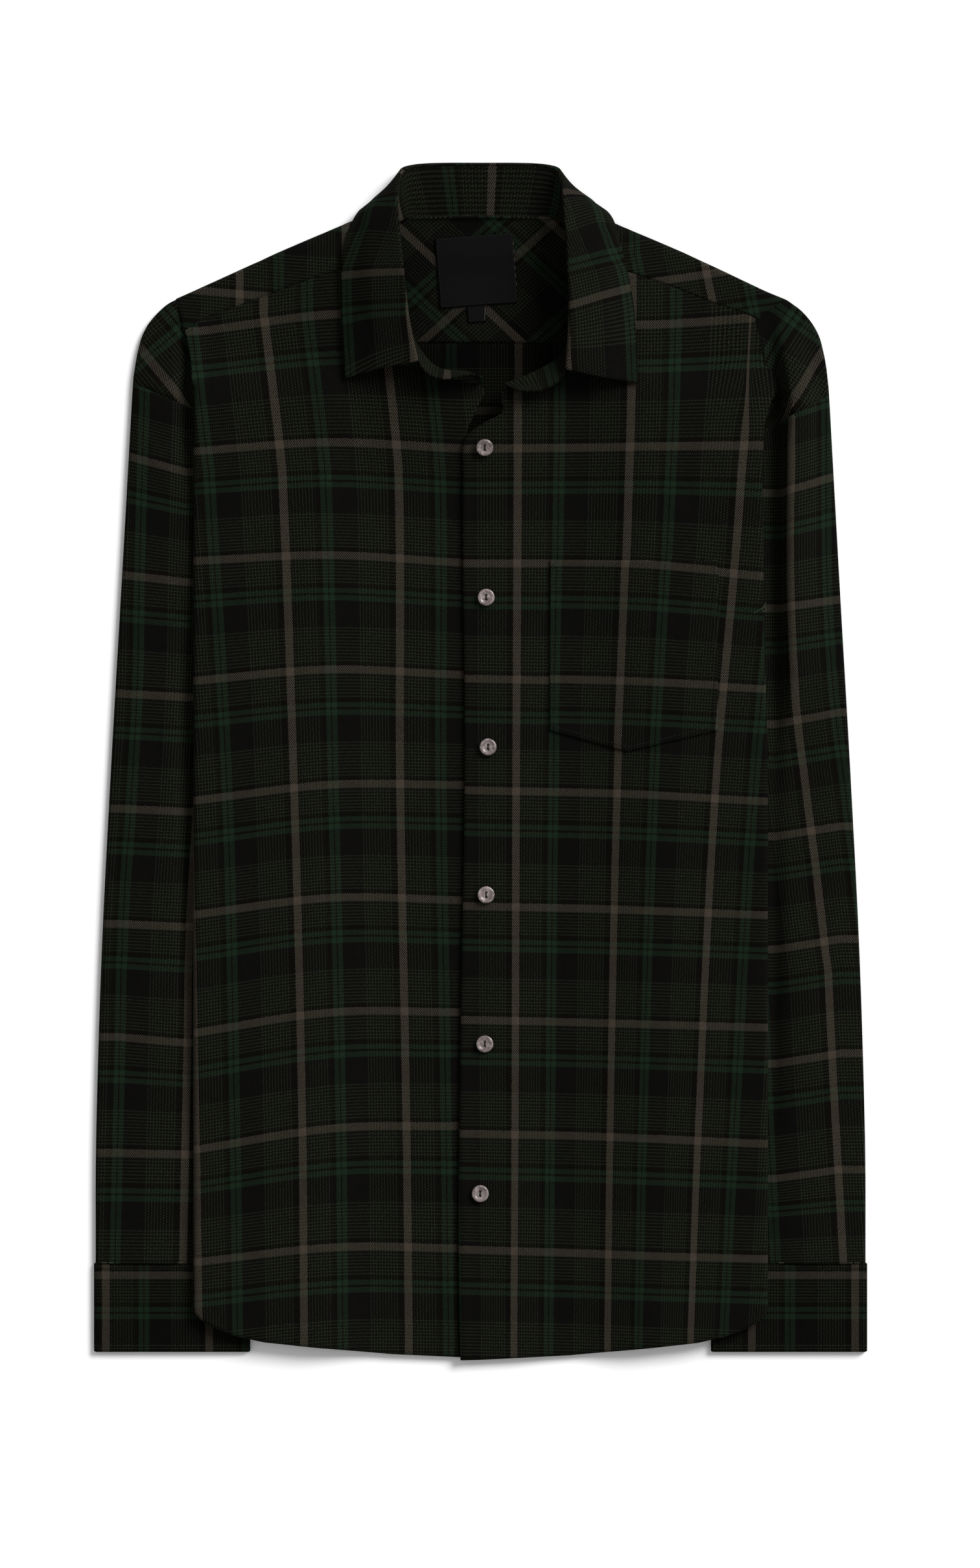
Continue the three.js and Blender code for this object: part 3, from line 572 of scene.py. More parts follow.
innerEdges = {
    "left": chart(
        "inX inY",
        (-13.2, -400), (-14.4, -310), (-12.9, -170), (-10.8, -50),
        (-10.4, 40), (-11.5, 130), (-11.5, 190), (-10.2, 215), (3, 226),
        (14.8, 233), (15.6, 247.6), (38, 256.5), (57, 274), (66.3, 335.7),
    ),
    "right": chart(
        "inX inY",
        (-underEdgeX, -399), (-underEdgeX, -310), (-underEdgeX, -170), (-underEdgeX, -50),
        (-underEdgeX, 40), (-underEdgeX, 130), (-15, 185), (5, 207), (9.5, 219),
        (3, 235), (-0.6, 249.6), (28, 258), (43, 276), (66.3, 335.7),
    ),
}
frontSpacing = 2.5

# Beige lines of the fronts. Uprights: x at four heights. Cross lines: y at three places across.
uprightStations = [-382, -225, -15, 194, 300]
uprights = {
    "right": [
        (-260, -262, -266, -287, -306),
        (-188, -190.6, -195.5, -210, -223),
        (-117.8, -119.3, -124.6, -132.5, -145),
        (-48.1, -50, -53.9, -54.9, -66),
        (24, 22, 20, 20, 10),
    ],
    "left": [
        (-38, -42, -46, -50, -52),
        (22.1, 23, 23.7, 24.7, 24.7),
        (85, 87, 91.3, 99.1, 101),
        (140, 146, 156.8, 174, 180.5),
        (200, 212, 226, 248, 262),
    ],
}
crossStations = {"right": [-190, -100, -14], "left": [-14, 97, 188]}
crossLines = {
    "right": [
        (364, 377, 376),
        (287.5, 298.5, 297),
        (207, 212.9, 209),
        (134, 137.8, 133),
        (54, 61.5, 58),
        (-26, -15.5, -15.5),
        (-102, -91, -92.7),
        (-181, -167.5, -167.5),
        (-259, -245, -243.5),
        (-334, -324.5, -325.5),
        (-411, -402, -402),
    ],
    "left": [
        (376, 372, 378),
        (297, 291.5, 297),
        (208.5, 210, 211),
        (132.5, 131.5, 123.5),
        (55.5, 52.9, 48.5),
        (-19, -21.5, -26.5),
        (-96.5, -99, -102.5),
        (-172.5, -175, -177.5),
        (-248.5, -251, -255),
        (-326, -329.5, -332),
        (-402, -405, -408),
    ],
}


# Towards the shoulder a soft fold takes in the wearer's left outer upright.
takenIn = {"line": 3, "share": 0.1, "reach": 0.3, "narrow": 0.034, "lowY": 215, "highY": 275}


def frontPlaid(side, x, y):
    across = countLines(uprightStations, uprights[side], y, x)
    if side == "left":
        away = across - takenIn["line"]
        shift = takenIn["share"] * ease(takenIn["lowY"], takenIn["highY"], y)
        across = across + shift * np.clip(away / takenIn["narrow"], -1, 1) * np.exp(-(away / takenIn["reach"]) ** 2)
    down = countLines(crossStations[side], crossLines[side], x, y)
    return np.stack([across, down], -1)


# Rows run from the front edge to the side seam along the cloth; the hem's and the yoke seam's bends fade
# out between them, and every row turns under at the side fold.
def frontGrid(side):
    mirror = 1 if side == "left" else -1
    edges = {**outerEdges[side], **innerEdges[side]}
    place = placesAlong(edges, "outY inY", frontSpacing)
    row = between(edges, place)
    passed = np.concatenate([[0], np.cumsum(edges["steps"][:-1])])
    height = np.interp(place, np.arange(len(passed)), passed) / passed[-1]
    fold = foldStart(row["outY"], side)
    start = np.minimum(fold, mix(row["inX"], row["outX"], 0.92))
    turned = np.minimum(start + math.pi * frontRoll, mix(start, row["outX"], 0.67))
    length = foldLengths(row["inX"], start, turned, row["outX"], (84, 10, 24))
    share = (length - row["inX"]) / (row["outX"] - row["inX"])
    low = mix(row["inX"][0], row["outX"][0], share)
    high = mix(row["inX"][-1], row["outX"][-1], share)
    hemBend = readOff(hem, low) - mix(readOff(hem, row["inX"][0]), readOff(hem, row["outX"][0]), share)
    seamBend = readOff(yokeFrontSeam, high) - mix(row["inY"][-1], row["outY"][-1], share)
    y = mix(row["inY"], row["outY"], share) + hemBend * (1 - height) ** 2 + seamBend * ease(0.85, 1, height)
    level = sideLevel(side, mirror * np.minimum(length, fold), y)
    reach, level = rolled(length, fold, frontRoll, level)
    grid = np.stack([mirror * reach, y, level], -1)
    plaidAt = frontPlaid(side, mirror * length, y)
    if mirror < 0:
        return grid[::-1], plaidAt[::-1]
    return grid, plaidAt


# Back

backRoll = levels["backRoll"]
backSeamEnd = 2 * foldStartX + math.pi * backRoll - sideSeamX
yokeSeamY = 280.6
backEdge = chart(
    "steps outX outY midY",
    (2, backSeamEnd, -299, -396.5), (2, backSeamEnd, -200, -280), (3, backSeamEnd, -70, -120),
    (2, backSeamEnd, 95, 60), (2, 222, 178, 160), (1, 199, 226, 215), (1, 192, 240, 232),
    (1, 190.6, 250, 246), (1, 190.4, 262, 260), (0, 193.2, yokeSeamY - seamGap, yokeSeamY - seamGap),
)


def backGrid():
    place = placesAlong(backEdge, "outY midY", 4.5)
    row = between(backEdge, place)
    passed = np.concatenate([[0], np.cumsum(backEdge["steps"][:-1])])
    height = np.interp(place, np.arange(len(passed)), passed) / passed[-1]
    fold = foldStart(row["outY"], "back")
    start = np.minimum(fold, row["outX"] * 0.92)
    turned = np.minimum(start + math.pi * backRoll, mix(start, row["outX"], 0.62))
    length = foldLengths(np.zeros_like(fold), start, turned, row["outX"], (44, 6, 16))
    share = length / row["outX"]
    bend = readOff(hem, share * backSeamEnd) - mix(readOff(hem, 0), readOff(hem, backSeamEnd), share)
    y = mix(row["midY"], row["outY"], share) + bend * (1 - height) ** 2
    reach, level = rolled(length, fold, backRoll, backLevel(np.minimum(length, fold), y))
    half = np.stack([reach, y, level], -1)
    grid = np.concatenate([half[:0:-1] * (-1, 1, 1), half])
    across = np.concatenate([-length[:0:-1], length])
    y = np.concatenate([y[:0:-1], y])
    return grid, np.stack([(across - 25.3) / warpRepeat, (234.8 - y) / weftRepeat], -1)


# Yoke

shoulderLine = chart(
    "x y",
    (50, 366), (70, 366), (88, 360.4), (116, 348.7), (136.4, 340), (155.4, 331.3), (174, 322.7),
    (193, 314), (206, 308.2),
)
leafReach = {"inX": 80, "outX": 100, "lowY": 322, "highY": 341}
yokeLow = yokeWall / 2
yokeLift = 1.5
yokeHalf = chart(
    "lowX foldX topX topY front seamed",
    (0, 0, 0, 365, 0, 0), (38, 36, 36, 364, 0, 0), (57, 51, 51, 362.6, 0, 0), (64, 63.5, 63.5, 352, 1, 0),
    (71, 67, 66.6, 336, 1, 1), (105, 100, 98, 327, 1, 1), (150, 150, 146, 310, 1, 1),
    (194.6, 203.4, 198.2, 288, 1, 1),
)
yokeCorner = {"right": 198.2, "left": 185.4}  # where each front seam meets the armhole
yokeSeamGap = seamGap + 0.2


def yokeLevel(x, y):
    under = (1 - ease(leafReach["inX"], leafReach["outX"], np.abs(x))) * ease(leafReach["lowY"], leafReach["highY"], y)
    return yokeLow + yokeLift * under


# The cut of the inner yoke lies askew, so its lines cross the neck both ways.
biasYoke = {"x": -5.2, "y": 311, "across": (-0.685, -0.729), "down": (-0.672, 0.741)}


def biasPlaid(x, y):
    dx, dy = x - biasYoke["x"], y - biasYoke["y"]
    across = (dx * biasYoke["across"][0] + dy * biasYoke["across"][1]) / warpRepeat
    down = (dx * biasYoke["down"][0] + dy * biasYoke["down"][1]) / weftRepeat
    return np.stack([across, down], -1)


shellUprights = [(-232.5, -232.5), (-161, -161), (-90, -90), (-10, -10), (87, 76), (158.5, 148), (230, 219)]


# Lines of cloth from the back seam up to the neckline or, past the neck, over the shoulder's round fold
# and down to the front seam.
def yokeSide(side):
    rows = {**yokeHalf, "topX": np.append(yokeHalf["topX"][:-1], yokeCorner[side])}
    row = between(rows, placesAlong(rows, "foldX", 2.5))
    shoulder = readOff(shoulderLine, row["foldX"])
    high = frontLevel(row["foldX"], shoulder)
    low = yokeLevel(row["foldX"], shoulder)
    radius = (high - low) / 2
    centre = shoulder - radius - yokeLow
    topY = mix(row["topY"], readOff(yokeFrontSeam, row["topX"]) + yokeSeamGap, row["seamed"])
    turned = centre + math.pi * radius + (centre - topY)
    end = mix(topY, turned, ease(0, 1, row["front"]))
    start = np.minimum(centre, mix(yokeSeamY, end, 0.62))
    topShare = (start - yokeSeamY + radius) / (end - yokeSeamY)
    turnEnd = np.minimum(start + math.pi * radius, mix(start, end, 5 / 7))
    cloth = foldLengths(np.full_like(end, yokeSeamY), start, turnEnd, end, (30, 14, 18))
    share = (cloth - yokeSeamY) / (end - yokeSeamY)
    past = np.maximum(0, (share - topShare) / (1 - topShare))
    x = mix(mix(row["lowX"], row["foldX"], np.minimum(1, share / topShare)), row["topX"], past)
    reach, level = rolled(cloth, centre, radius, 0)
    beyond = cloth > centre + math.pi * radius
    level = np.where(beyond, frontLevel(x, reach), yokeLevel(x, reach) - level)
    facing = 2 * centre + math.pi * radius - cloth  # how high up the front run each place would lie
    return np.stack([x, reach, level], -1).transpose(1, 0, 2), facing.T


def yokeSurface():
    left, leftFacing = yokeSide("left")
    right, rightFacing = yokeSide("right")
    grid = np.concatenate([right[:0:-1] * (-1, 1, 1), left])
    facing = np.concatenate([rightFacing[:0:-1], leftFacing])
    x = grid[..., 0]
    across = countLines([290, 340], shellUprights, facing, x)
    down = (np.where(x < 0, 313 - 0.081 * (x + 167), 323.7 + 0.147 * (x - 138)) - facing) / weftRepeat
    return grid, biasPlaid(x, grid[..., 1]), np.stack([across, down], -1)


# Sleeves

sleeveSeamLevel = clothWall + seamGap + halfCloth
cuffTopY = -336
sleeveFoot = [
    (153, cuffTopY + seamGap, 257.4, cuffTopY + seamGap, sleeveSeamLevel),
    (146, -250, 257, -250, sleeveSeamLevel),
    (133, -130, 253.4, -130, sleeveSeamLevel),
    (123, -10, 247.4, -10, sleeveSeamLevel),
    (119, 95, 241.4, 95, sleeveSeamLevel),
]
creaseRow = 7  # the cloth turns at the crease under the cap
sleeveRows = {
    "right": chart(
        "inX inY outX outY inLevel",
        *sleeveFoot,
        (140, 162, 237.4, 165, 3),
        (166, 208, 234.8, 212, 4),
        (183.3, 232, 232.4, 252.5, 4.2),
        (190.4, 249, 231.2, 263, 3.4),
        (189, 257, 230, 270, 3.6),
        (189.6, 265, 228.5, 277, 3.4),
        (191.4, 274, 226, 285, 3.2),
        (194.4, 283.5, 221.4, 293.4, 3),
        (197.6, 293, 214.5, 301.2, 3),
        (200, 300.6, 208.8, 306, 3),
        (201.2, 305.8, 203.4, 308.8, 3),
    ),
    "left": chart(
        "inX inY outX outY inLevel",
        *sleeveFoot,
        (140, 162, 237.2, 170, 3),
        (156, 194, 235.2, 206, 3.4),
        (166, 208, 233, 244.6, 3.8),
        (188, 234, 232.2, 254, 2.4),
        (188.4, 246, 231.2, 263, 2.8),
        (189, 258, 229.4, 273, 3.6),
        (189.6, 270, 226.3, 284.4, 4.4),
        (187.6, 281, 221, 293.8, 4.6),
        (184.6, 291, 214.5, 301.2, 4.6),
        (183.8, 295.8, 209.5, 305, 4.6),
        (190.6, 300, 206, 307.6, 4.6),
        (200.4, 307.2, 203.4, 309, 4.6),
    ),
}
sleeveRoll = (levels["sleeveTop"] - levels["rest"]) / 2
sleeveRise = 14
sleeveTurns = 34  # columns of cloth from the outer fold on
bodyEdgeX = 196
sleeveCrown = 0.9

# How each sleeve dips beside the body and swells beyond it, by height: a valley as a bell along x, and a
# ridge with a steep inner flank and a long outer one.
sleeveShape = {
    "right": chart(
        "y depth ridgeX rise inner outer",
        (-336, 0.6, 206, 0.4, 6, 12), (-270, -1.6, 206, 0.9, 6, 14), (-184, 0.2, 206, 1.2, 6, 14),
        (-119, 2.1, 206, 1.3, 6, 14), (32, 2.1, 206, 1.3, 6, 14), (76, 0.6, 206, 1, 6, 14),
        (119, -1.6, 206, 0.6, 6, 14), (180, -1.2, 206, 0.6, 6, 14), (214, 3.2, 206, 0.8, 6, 14),
        (240, 3.6, 206, 1.4, 6, 14), (268, 3, 208, 1, 6, 14), (292, 0.8, 210, 0, 6, 14),
    ),
    "left": chart(
        "y depth ridgeX rise inner outer",
        (-336, 0.4, 206, 0.3, 6, 16), (-270, 0.2, 208, 0.5, 8, 18), (-184, 2.4, 219, 1.8, 17, 20),
        (-97, 2, 206, 1.6, 7, 18), (-32, 1, 206, 0.5, 8, 18), (15, 1.8, 207, 1.4, 8, 18),
        (60, 3.6, 208, 7.4, 5, 20), (120, 3.8, 206.5, 9.2, 4.2, 20), (210, 3.8, 206.5, 9.8, 4.2, 20),
        (232, 3.8, 208.6, 9.8, 3.8, 18), (246, 3, 207.4, 9.2, 4, 17), (260, 1.4, 205.6, 7.6, 5, 16),
        (274, 0.4, 203.6, 5, 6, 14),
        (292, 0, 200, 1.2, 7, 12),
    ),
}
valley = {"x": 196.5, "wide": 5.5}

# The fold at the crease: a swell above it and a sharp dip on it, by the distance from its line.
creaseFold = {"right": (203, 240.2, 24), "left": (206, 229.8, 28.6)}  # x and y of a point on it, and its slope
creaseSwell = {"height": 0.7, "above": 4, "wide": 4, "dip": 1.1, "narrow": 1.3}
sleeveCreases = chart(
    "x y wide long lean height",
    (214, 196, 7, 26, 0.5, 0.5),
    (224, 150, 8, 44, 0.1, -0.4),
    (230, 60, 7, 70, -0.04, 0.45),
    (216, 0, 7, 62, 0.05, -0.35),
    (236, -80, 7, 66, -0.05, 0.4),
    (222, -160, 8, 60, 0.08, 0.4),
    (240, -230, 7, 50, -0.06, -0.4),
    (226, -290, 8, 40, 0.1, 0.5),
    (246, -310, 5, 24, 0.0, -0.4),
)

sleeveCross = {
    "right": {
        "stations": [-242, -197],
        "lines": [(284, 270), (206, 193.5), (125, 120), (45.5, 43), (-31.4, -33.5), (-108.5, -110.5), (-184, -188),
                  (-261.5, -262.4), (-343.4, -343.4)],
    },
    "left": {
        "stations": [197, 240],
        "lines": [(256, 270), (179.5, 191.5), (102.5, 108.3), (25, 33), (-50, -43.3), (-125.5, -118.6), (-202, -194.9),
                  (-279, -272.8), (-343.4, -343.4)],
    },
}
sleeveUprightStations = [-340, -139, -96, -30, 53, 128, 240]
sleeveUprights = {
    "right": [
        (-342, -338, -335, -331, -327, -325, -322),
        (-271, -266.5, -264.5, -260, -255.5, -254.2, -251),
        (-199, -195, -193, -188.5, -184, -182.7, -179.5),
        (-128, -124, -122, -117, -113, -111, -108),
    ],
    "left": [
        (171, 160.5, 155, 147, 137, 133, 133),
        (242.5, 231.9, 226.5, 218.5, 208.5, 204.4, 204.4),
        (313, 303, 298, 290, 280, 276, 276),
    ],
}
capPlaid = {
    "right": {"x": -215.6, "y": 261.3, "turn": -50.7, "pairAt": -11.5},
    "left": {"x": 216.7, "y": 256.5, "turn": 54.9, "pairAt": 27},
}
capEase = 1.13  # the cap's plaid measures a little larger
capEnd = 0.955  # the seam comes before the next beige stripe
greenPairAt = 0.369  # the part of the warp repeat from its beige stripe to its green pair


def sleevePlaid(side, x, y):
    stations = np.array(sleeveUprightStations)
    across = countLines(stations, sleeveUprights[side], y, x)
    cross = sleeveCross[side]
    down = countLines(cross["stations"], cross["lines"], x, y)
    return np.stack([across, down], -1)


# Above the crease the cloth still points outwards, so its lines are turned: one family lies along the
# beige line, the other square to it.
def capTurned(side, x, y):
    cap = capPlaid[side]
    angle = math.radians(cap["turn"])
    dx, dy = x - cap["x"], y - cap["y"]
    lengthways = dx * math.cos(angle) + dy * math.sin(angle)
    upwards = abs(math.sin(angle)) * -np.sign(cap["turn"]) * dx + math.cos(angle) * dy
    sign = 1 if side == "right" else -1
    across = sign * (lengthways - cap["pairAt"]) / (warpRepeat * capEase) + greenPairAt
    across = np.minimum(across, capEnd)
    return np.stack([across, upwards / (weftRepeat * capEase)], -1)


# How far above the crease's line a place lies.
def aboveCrease(side, x, y):
    px, py, slope = creaseFold[side]
    angle = math.radians(slope)
    return (y - py) * math.cos(angle) - (x - px) * math.sin(angle)


def sleeveSurface(side):
    mirror = 1 if side == "left" else -1
    rows = sleeveRows[side]
    place = placesAlong(rows, "outY inY", 2.6)
    fine = np.linspace(creaseRow - 0.36, creaseRow + 0.36, 25)
    place = np.sort(np.concatenate([place[np.abs(place - creaseRow) > 0.38], fine]))
    row = between(rows, place)
    direction = np.stack([row["outX"] - row["inX"], row["outY"] - row["inY"]])
    width = np.hypot(*direction)
    direction = direction / width
    start = width - sleeveRoll - halfCloth
    turned = start + math.pi * sleeveRoll
    cloth = foldLengths(np.zeros_like(start), start, turned, turned + start, (70, 8, 26))
    reach, level = rolled(cloth, start, sleeveRoll, levels["sleeveTop"])
    x = row["inX"] + direction[0] * reach
    y = row["inY"] + direction[1] * reach
    rise = ease(0, np.minimum(sleeveRise, start), cloth)
    visible = np.clip((x - bodyEdgeX) / (row["outX"] - bodyEdgeX), 0, 1)
    shape = {name: np.interp(y, sleeveShape[side]["y"], value) for name, value in sleeveShape[side].items()}
    dip = shape["depth"] * np.exp(-((x - valley["x"]) / valley["wide"]) ** 2)
    flank = np.where(x < shape["ridgeX"], shape["inner"], shape["outer"])
    ridge = shape["rise"] * np.exp(-((x - shape["ridgeX"]) / flank) ** 2)
    above = aboveCrease(side, x, y)
    swell = creaseSwell["height"] * np.exp(-((above - creaseSwell["above"]) / creaseSwell["wide"]) ** 2)
    sharp = creaseSwell["dip"] * np.exp(-(above / creaseSwell["narrow"]) ** 2)
    lateral = ridge - dip + (waveHeight(sleeveCreases, x, y) + swell - sharp) * ease(0, 0.2, visible)
    top = mix(row["inLevel"], levels["sleeveTop"], rise) + sleeveCrown * np.sin(math.pi * visible)
    lateral = lateral * (1 - ease(start - 14, start, cloth)) * ease(0, 7, cloth)
    level = np.where(cloth < start, np.maximum(top + lateral, levels["rest"]), level)
    grid = np.stack([mirror * x, y, level], -1)
    walked = summedLength(grid, 0)
    crest = len(cloth) - 1 - sleeveTurns
    flat = x[crest] - (walked[crest] - walked) * direction[0]  # the cloth's own length, from the outer edge in
    run = np.where(cloth > turned, 2 * row["outX"] - x, np.where(cloth < start, flat, x))
    straight = sleevePlaid(side, mirror * run, y)
    cap = capTurned(side, mirror * run, y)
    split = {"uv": cap, "from": int(np.searchsorted(place, creaseRow - 0.001))}
    if mirror < 0:
        split["uv"] = cap[::-1]
        return grid[::-1], straight[::-1], split
    return grid, straight, split


# Cuffs

cuff = {"inX": 154, "outX": 258.5, "top": 3.8, "lowY": -394.4, "bulge": 0.35}


def cuffSurface(side):
    mirror = 1 if side == "left" else -1
    low = cuffWall / 2
    radius = (cuff["top"] - low) / 2
    inside, outside = cuff["inX"] + radius + low, cuff["outX"] - radius - low
    flat = np.linspace(0, 1, 41)[:-1]
    turn = np.linspace(0, math.pi, 9)[:-1]
    x = np.concatenate([mix(inside, outside, flat), outside + radius * np.sin(turn), mix(outside, inside, flat),
                        inside - radius * np.sin(turn)])
    z = np.concatenate([np.full(40, cuff["top"]), low + radius + radius * np.cos(turn), np.full(40, low),
                        low + radius - radius * np.cos(turn)])
    y = np.linspace(cuff["lowY"], cuffTopY, 25)
    bulge = cuff["bulge"] * np.sin(math.pi * np.clip((x[:, None] - inside) / (outside - inside), 0, 1))
    z = z[:, None] + bulge * (z[:, None] > radius + low) * np.sin(math.pi * (y - cuff["lowY"]) / (cuffTopY - cuff["lowY"]))
    grid = np.stack(np.broadcast_arrays(mirror * x[:, None], y[None, :], z), -1)
    first = -250.5 if side == "right" else 181.2
    run = np.concatenate([x[:48], 2 * cuff["outX"] - x[48:]])
    plaidAt = np.stack(np.broadcast_arrays((mirror * run[:, None] - first) / 69, (-343.4 - y[None, :]) / 74), -1)
    return (grid, plaidAt) if mirror > 0 else (grid[::-1], plaidAt[::-1])


# Collar

standRows = chart(
    "seamX seamY seamZ topX topY topZ bulge",
    (0.6, 252.4, 14.2, 1, 255.4, 23, 0), (-9, 259.4, 14, -6, 257, 25, 0), (-28, 261.6, 14, -29, 254.6, 26.5, 0),
    (-42, 276, 14, -42, 267, 27.5, 1), (-52, 300, 14, -48.5, 296, 28, 2), (-59, 332, 14, -53, 334, 28, 3),
    (-60.5, 354, 13, -56, 364, 24, 3), (-50, 364.8, 5.2, -53.5, 388, 13, 2), (-36, 365.4, 2.7, -43, 396.6, 5, 0),
    (0, 366, 2.6, 0, 397.7, 3.5, 0), (36, 365.4, 2.7, 43, 396.6, 5, 0), (50, 364.8, 5.2, 53, 388, 13, 2),
    (60.5, 354, 13, 56.5, 364, 24, 3), (63.5, 332, 14, 58.5, 334, 28, 3), (62.5, 300, 14, 59.5, 298, 28, 2),
    (56, 272.8, 15.2, 57, 262, 27, 1), (40, 260.6, 15.8, 44, 247.6, 25.5, 0), (16.4, 251, 16.4, 26, 246, 23.5, 0),
)
neckMiddleY = 310
# Lengths from the beige line at this x, and the warp repeats passed: the stand is eased along the neck.
standPlaid = {
    "x": 8,
    "lengths": [-290, -219, -143, -40, 0, 40, 143, 226, 297],
    "repeats": [-4, -3, -2, -0.494, 0, 0.494, 2, 3, 4],
}
standCheck = {"seam": 0.655, "top": 0.95}  # the part of the weft repeat that it shows


# Straight from seam to top, bowed outwards by half a sine.
def standSection(row, share):
    seam = np.stack([row["seamX"], row["seamY"], row["seamZ"]], -1)
    top = np.stack([row["topX"], row["topY"], row["topZ"]], -1)
    outward = unit(np.stack([row["seamX"], row["seamY"] - neckMiddleY, np.zeros_like(row["seamX"])], -1))
    share = np.asarray(share)[None, :, None]
    return mix(seam[:, None], top[:, None], share) + outward[:, None] * row["bulge"][:, None, None] * np.sin(math.pi * share)


# Lengths summed along one index of a grid.
def summedLength(grid, axis):
    step = np.linalg.norm(np.diff(grid, axis=axis), axis=-1)
    pad = np.zeros_like(np.take(step, [0], axis=axis))
    return np.concatenate([pad, np.cumsum(step, axis=axis)], axis=axis)


def standSurface():
    row = between(standRows, placesAlong(standRows, "seamX seamY topX topY", 1.6))
    grid = standSection(row, np.linspace(-0.06, 1, 23))
    length = summedLength(grid[:, -1], 0)
    third = len(length) // 3
    middle = np.interp(standPlaid["x"], row["topX"][third:2 * third], length[third:2 * third])
    repeats = np.interp(length - middle, standPlaid["lengths"], standPlaid["repeats"])
    across = -repeats[:, None] * np.ones(grid.shape[:2])
    rise = summedLength(grid, 1)
    down = mix(standCheck["seam"], standCheck["top"], rise / rise[:, -1:])
    return grid, np.stack([across, down], -1)


leafRows = chart(
    "midX midY midZ edgeX edgeY edgeZ",
    (-66, 261.5, 24, -90.4, 255.6, 14.6), (-70, 299, 24.5, -92.6, 302, 13.8), (-73, 336, 24, -91.6, 337, 13.6),
    (-71.8, 367.4, 18, -84, 362.8, 8.5), (-64.5, 381.5, 6.5, -73, 370, 0.9), (-48, 386, 1, -50, 354, 0.6),
    (0, 384, 0.6, 0, 350, 0.6), (48, 386, 1, 50, 354, 0.6), (64.5, 381.5, 6.5, 73, 370, 0.9),
    (75, 368, 18, 87, 363.8, 8.5), (78, 336, 24, 95, 337, 13.6), (81, 301, 24.5, 102, 303, 13.8),
    (81, 255.5, 24, 105, 252.4, 15),
)
firstCarrier = 3
leafRoll = 1.4
collarGap = seamGap + 0.35


# From the stand's top edge in line with it, over a round fold, then on a curve through the middle to the
# free edge.
def leafSurface():
    count = len(leafRows["midX"])
    carriers = {name: value[firstCarrier:firstCarrier + count] for name, value in standRows.items()}
    rows = {**carriers, **leafRows}
    row = between(rows, placesAlong(rows, "topX topY edgeX edgeY", 1.6))
    pair = standSection(row, [0.75, 1])
    below, top = pair[:, 0], pair[:, 1]
    mid = np.stack([row["midX"], row["midY"], row["midZ"]], -1)
    edge = np.stack([row["edgeX"], row["edgeY"], row["edgeZ"]], -1)
    rise = unit(top - below)
    fall = mid - top
    fall = unit(fall - rise * (fall * rise).sum(-1, keepdims=True))
    start = top + rise * collarGap

    def turned(turn):
        return start + fall * leafRoll * (1 - np.cos(turn)) + rise * leafRoll * np.sin(turn)

    roll = np.stack([turned(turn) for turn in np.linspace(0, 0.6 * math.pi, 9)], 1)
    knots = np.stack([turned(0.3 * math.pi), turned(0.6 * math.pi), mid, mix(mid, edge, 0.5), edge], 1)
    place = np.linspace(1, 4, 30)[1:]
    flat = knots.transpose(1, 0, 2).reshape(5, -1)
    curve = betweenRows(flat, place).reshape(len(place), -1, 3).transpose(1, 0, 2)
    grid = np.concatenate([roll, curve], 1)
    grid[..., 2] = np.maximum(grid[..., 2], levels["rest"])
    lengthways = summedLength(grid[:, 4], 0)
    depth = summedLength(grid, 1)
    stations = [line for line, repeat in leafLines]
    repeats = [repeat for line, repeat in leafLines]
    third = len(lengthways) // 3
    fromMiddle = lengthways - np.interp(0, row["topX"][third:2 * third], lengthways[third:2 * third])
    share = depth / depth[:, -1:]
    lean = {end: np.interp(fromMiddle, leafLean["fromMiddle"], leafLean[end])[:, None] for end in ("roll", "edge")}
    across = np.interp(fromMiddle[:, None] + mix(lean["roll"], lean["edge"], share), stations, repeats)
    beige = np.interp(np.abs(fromMiddle), leafBeige["fromMiddle"], leafBeige["fromEdge"])
    fromEdge = depth[:, -1:] - depth - beige[:, None]
    return grid[::-1], np.stack([fromEdge / warpRepeat, across], -1)[::-1]


# Cubic curves through the rows of an array, with the same slopes as between.
def betweenRows(values, place):
    last = len(values) - 1
    row = np.clip(np.floor(place).astype(int), 0, last - 1)
    t = (place - row)[:, None]
    start, end = values[row], values[row + 1]
    before, after = values[np.maximum(row - 1, 0)], values[np.minimum(row + 2, last)]
    leave = np.where((row == 0)[:, None], end - start, (end - before) / 2)
    arrive = np.where((row + 1 == last)[:, None], end - start, (after - start) / 2)
    bend = 2 * start - 2 * end + leave + arrive
    turn = 3 * (end - start) - 2 * leave - arrive
    return ((bend * t + turn) * t + leave) * t + start


# Beige lines across the collar: length from the middle of the back, and their count. One more runs
# along it, this far from its free edge.
leafLines = [(-208.5, 4), (-131.5, 3), (-56, 2), (73, 0), (150, -1), (227, -2)]
leafLean = {"fromMiddle": [-260, -140, -110, 50, 80, 150, 200], "roll": [-4, -4, 0, 0, -2, -2, -0.5], "edge": [5, 5, 0, 0, 6, 6, 2]}
leafBeige = {"fromMiddle": [100, 130], "fromEdge": [57.5, 49.5]}


# Pocket

pocket = {"left": 46.5, "right": 158, "top": 133.8, "corner": 20.6, "point": 6.6, "middle": 98}
pocketGap = 0.15


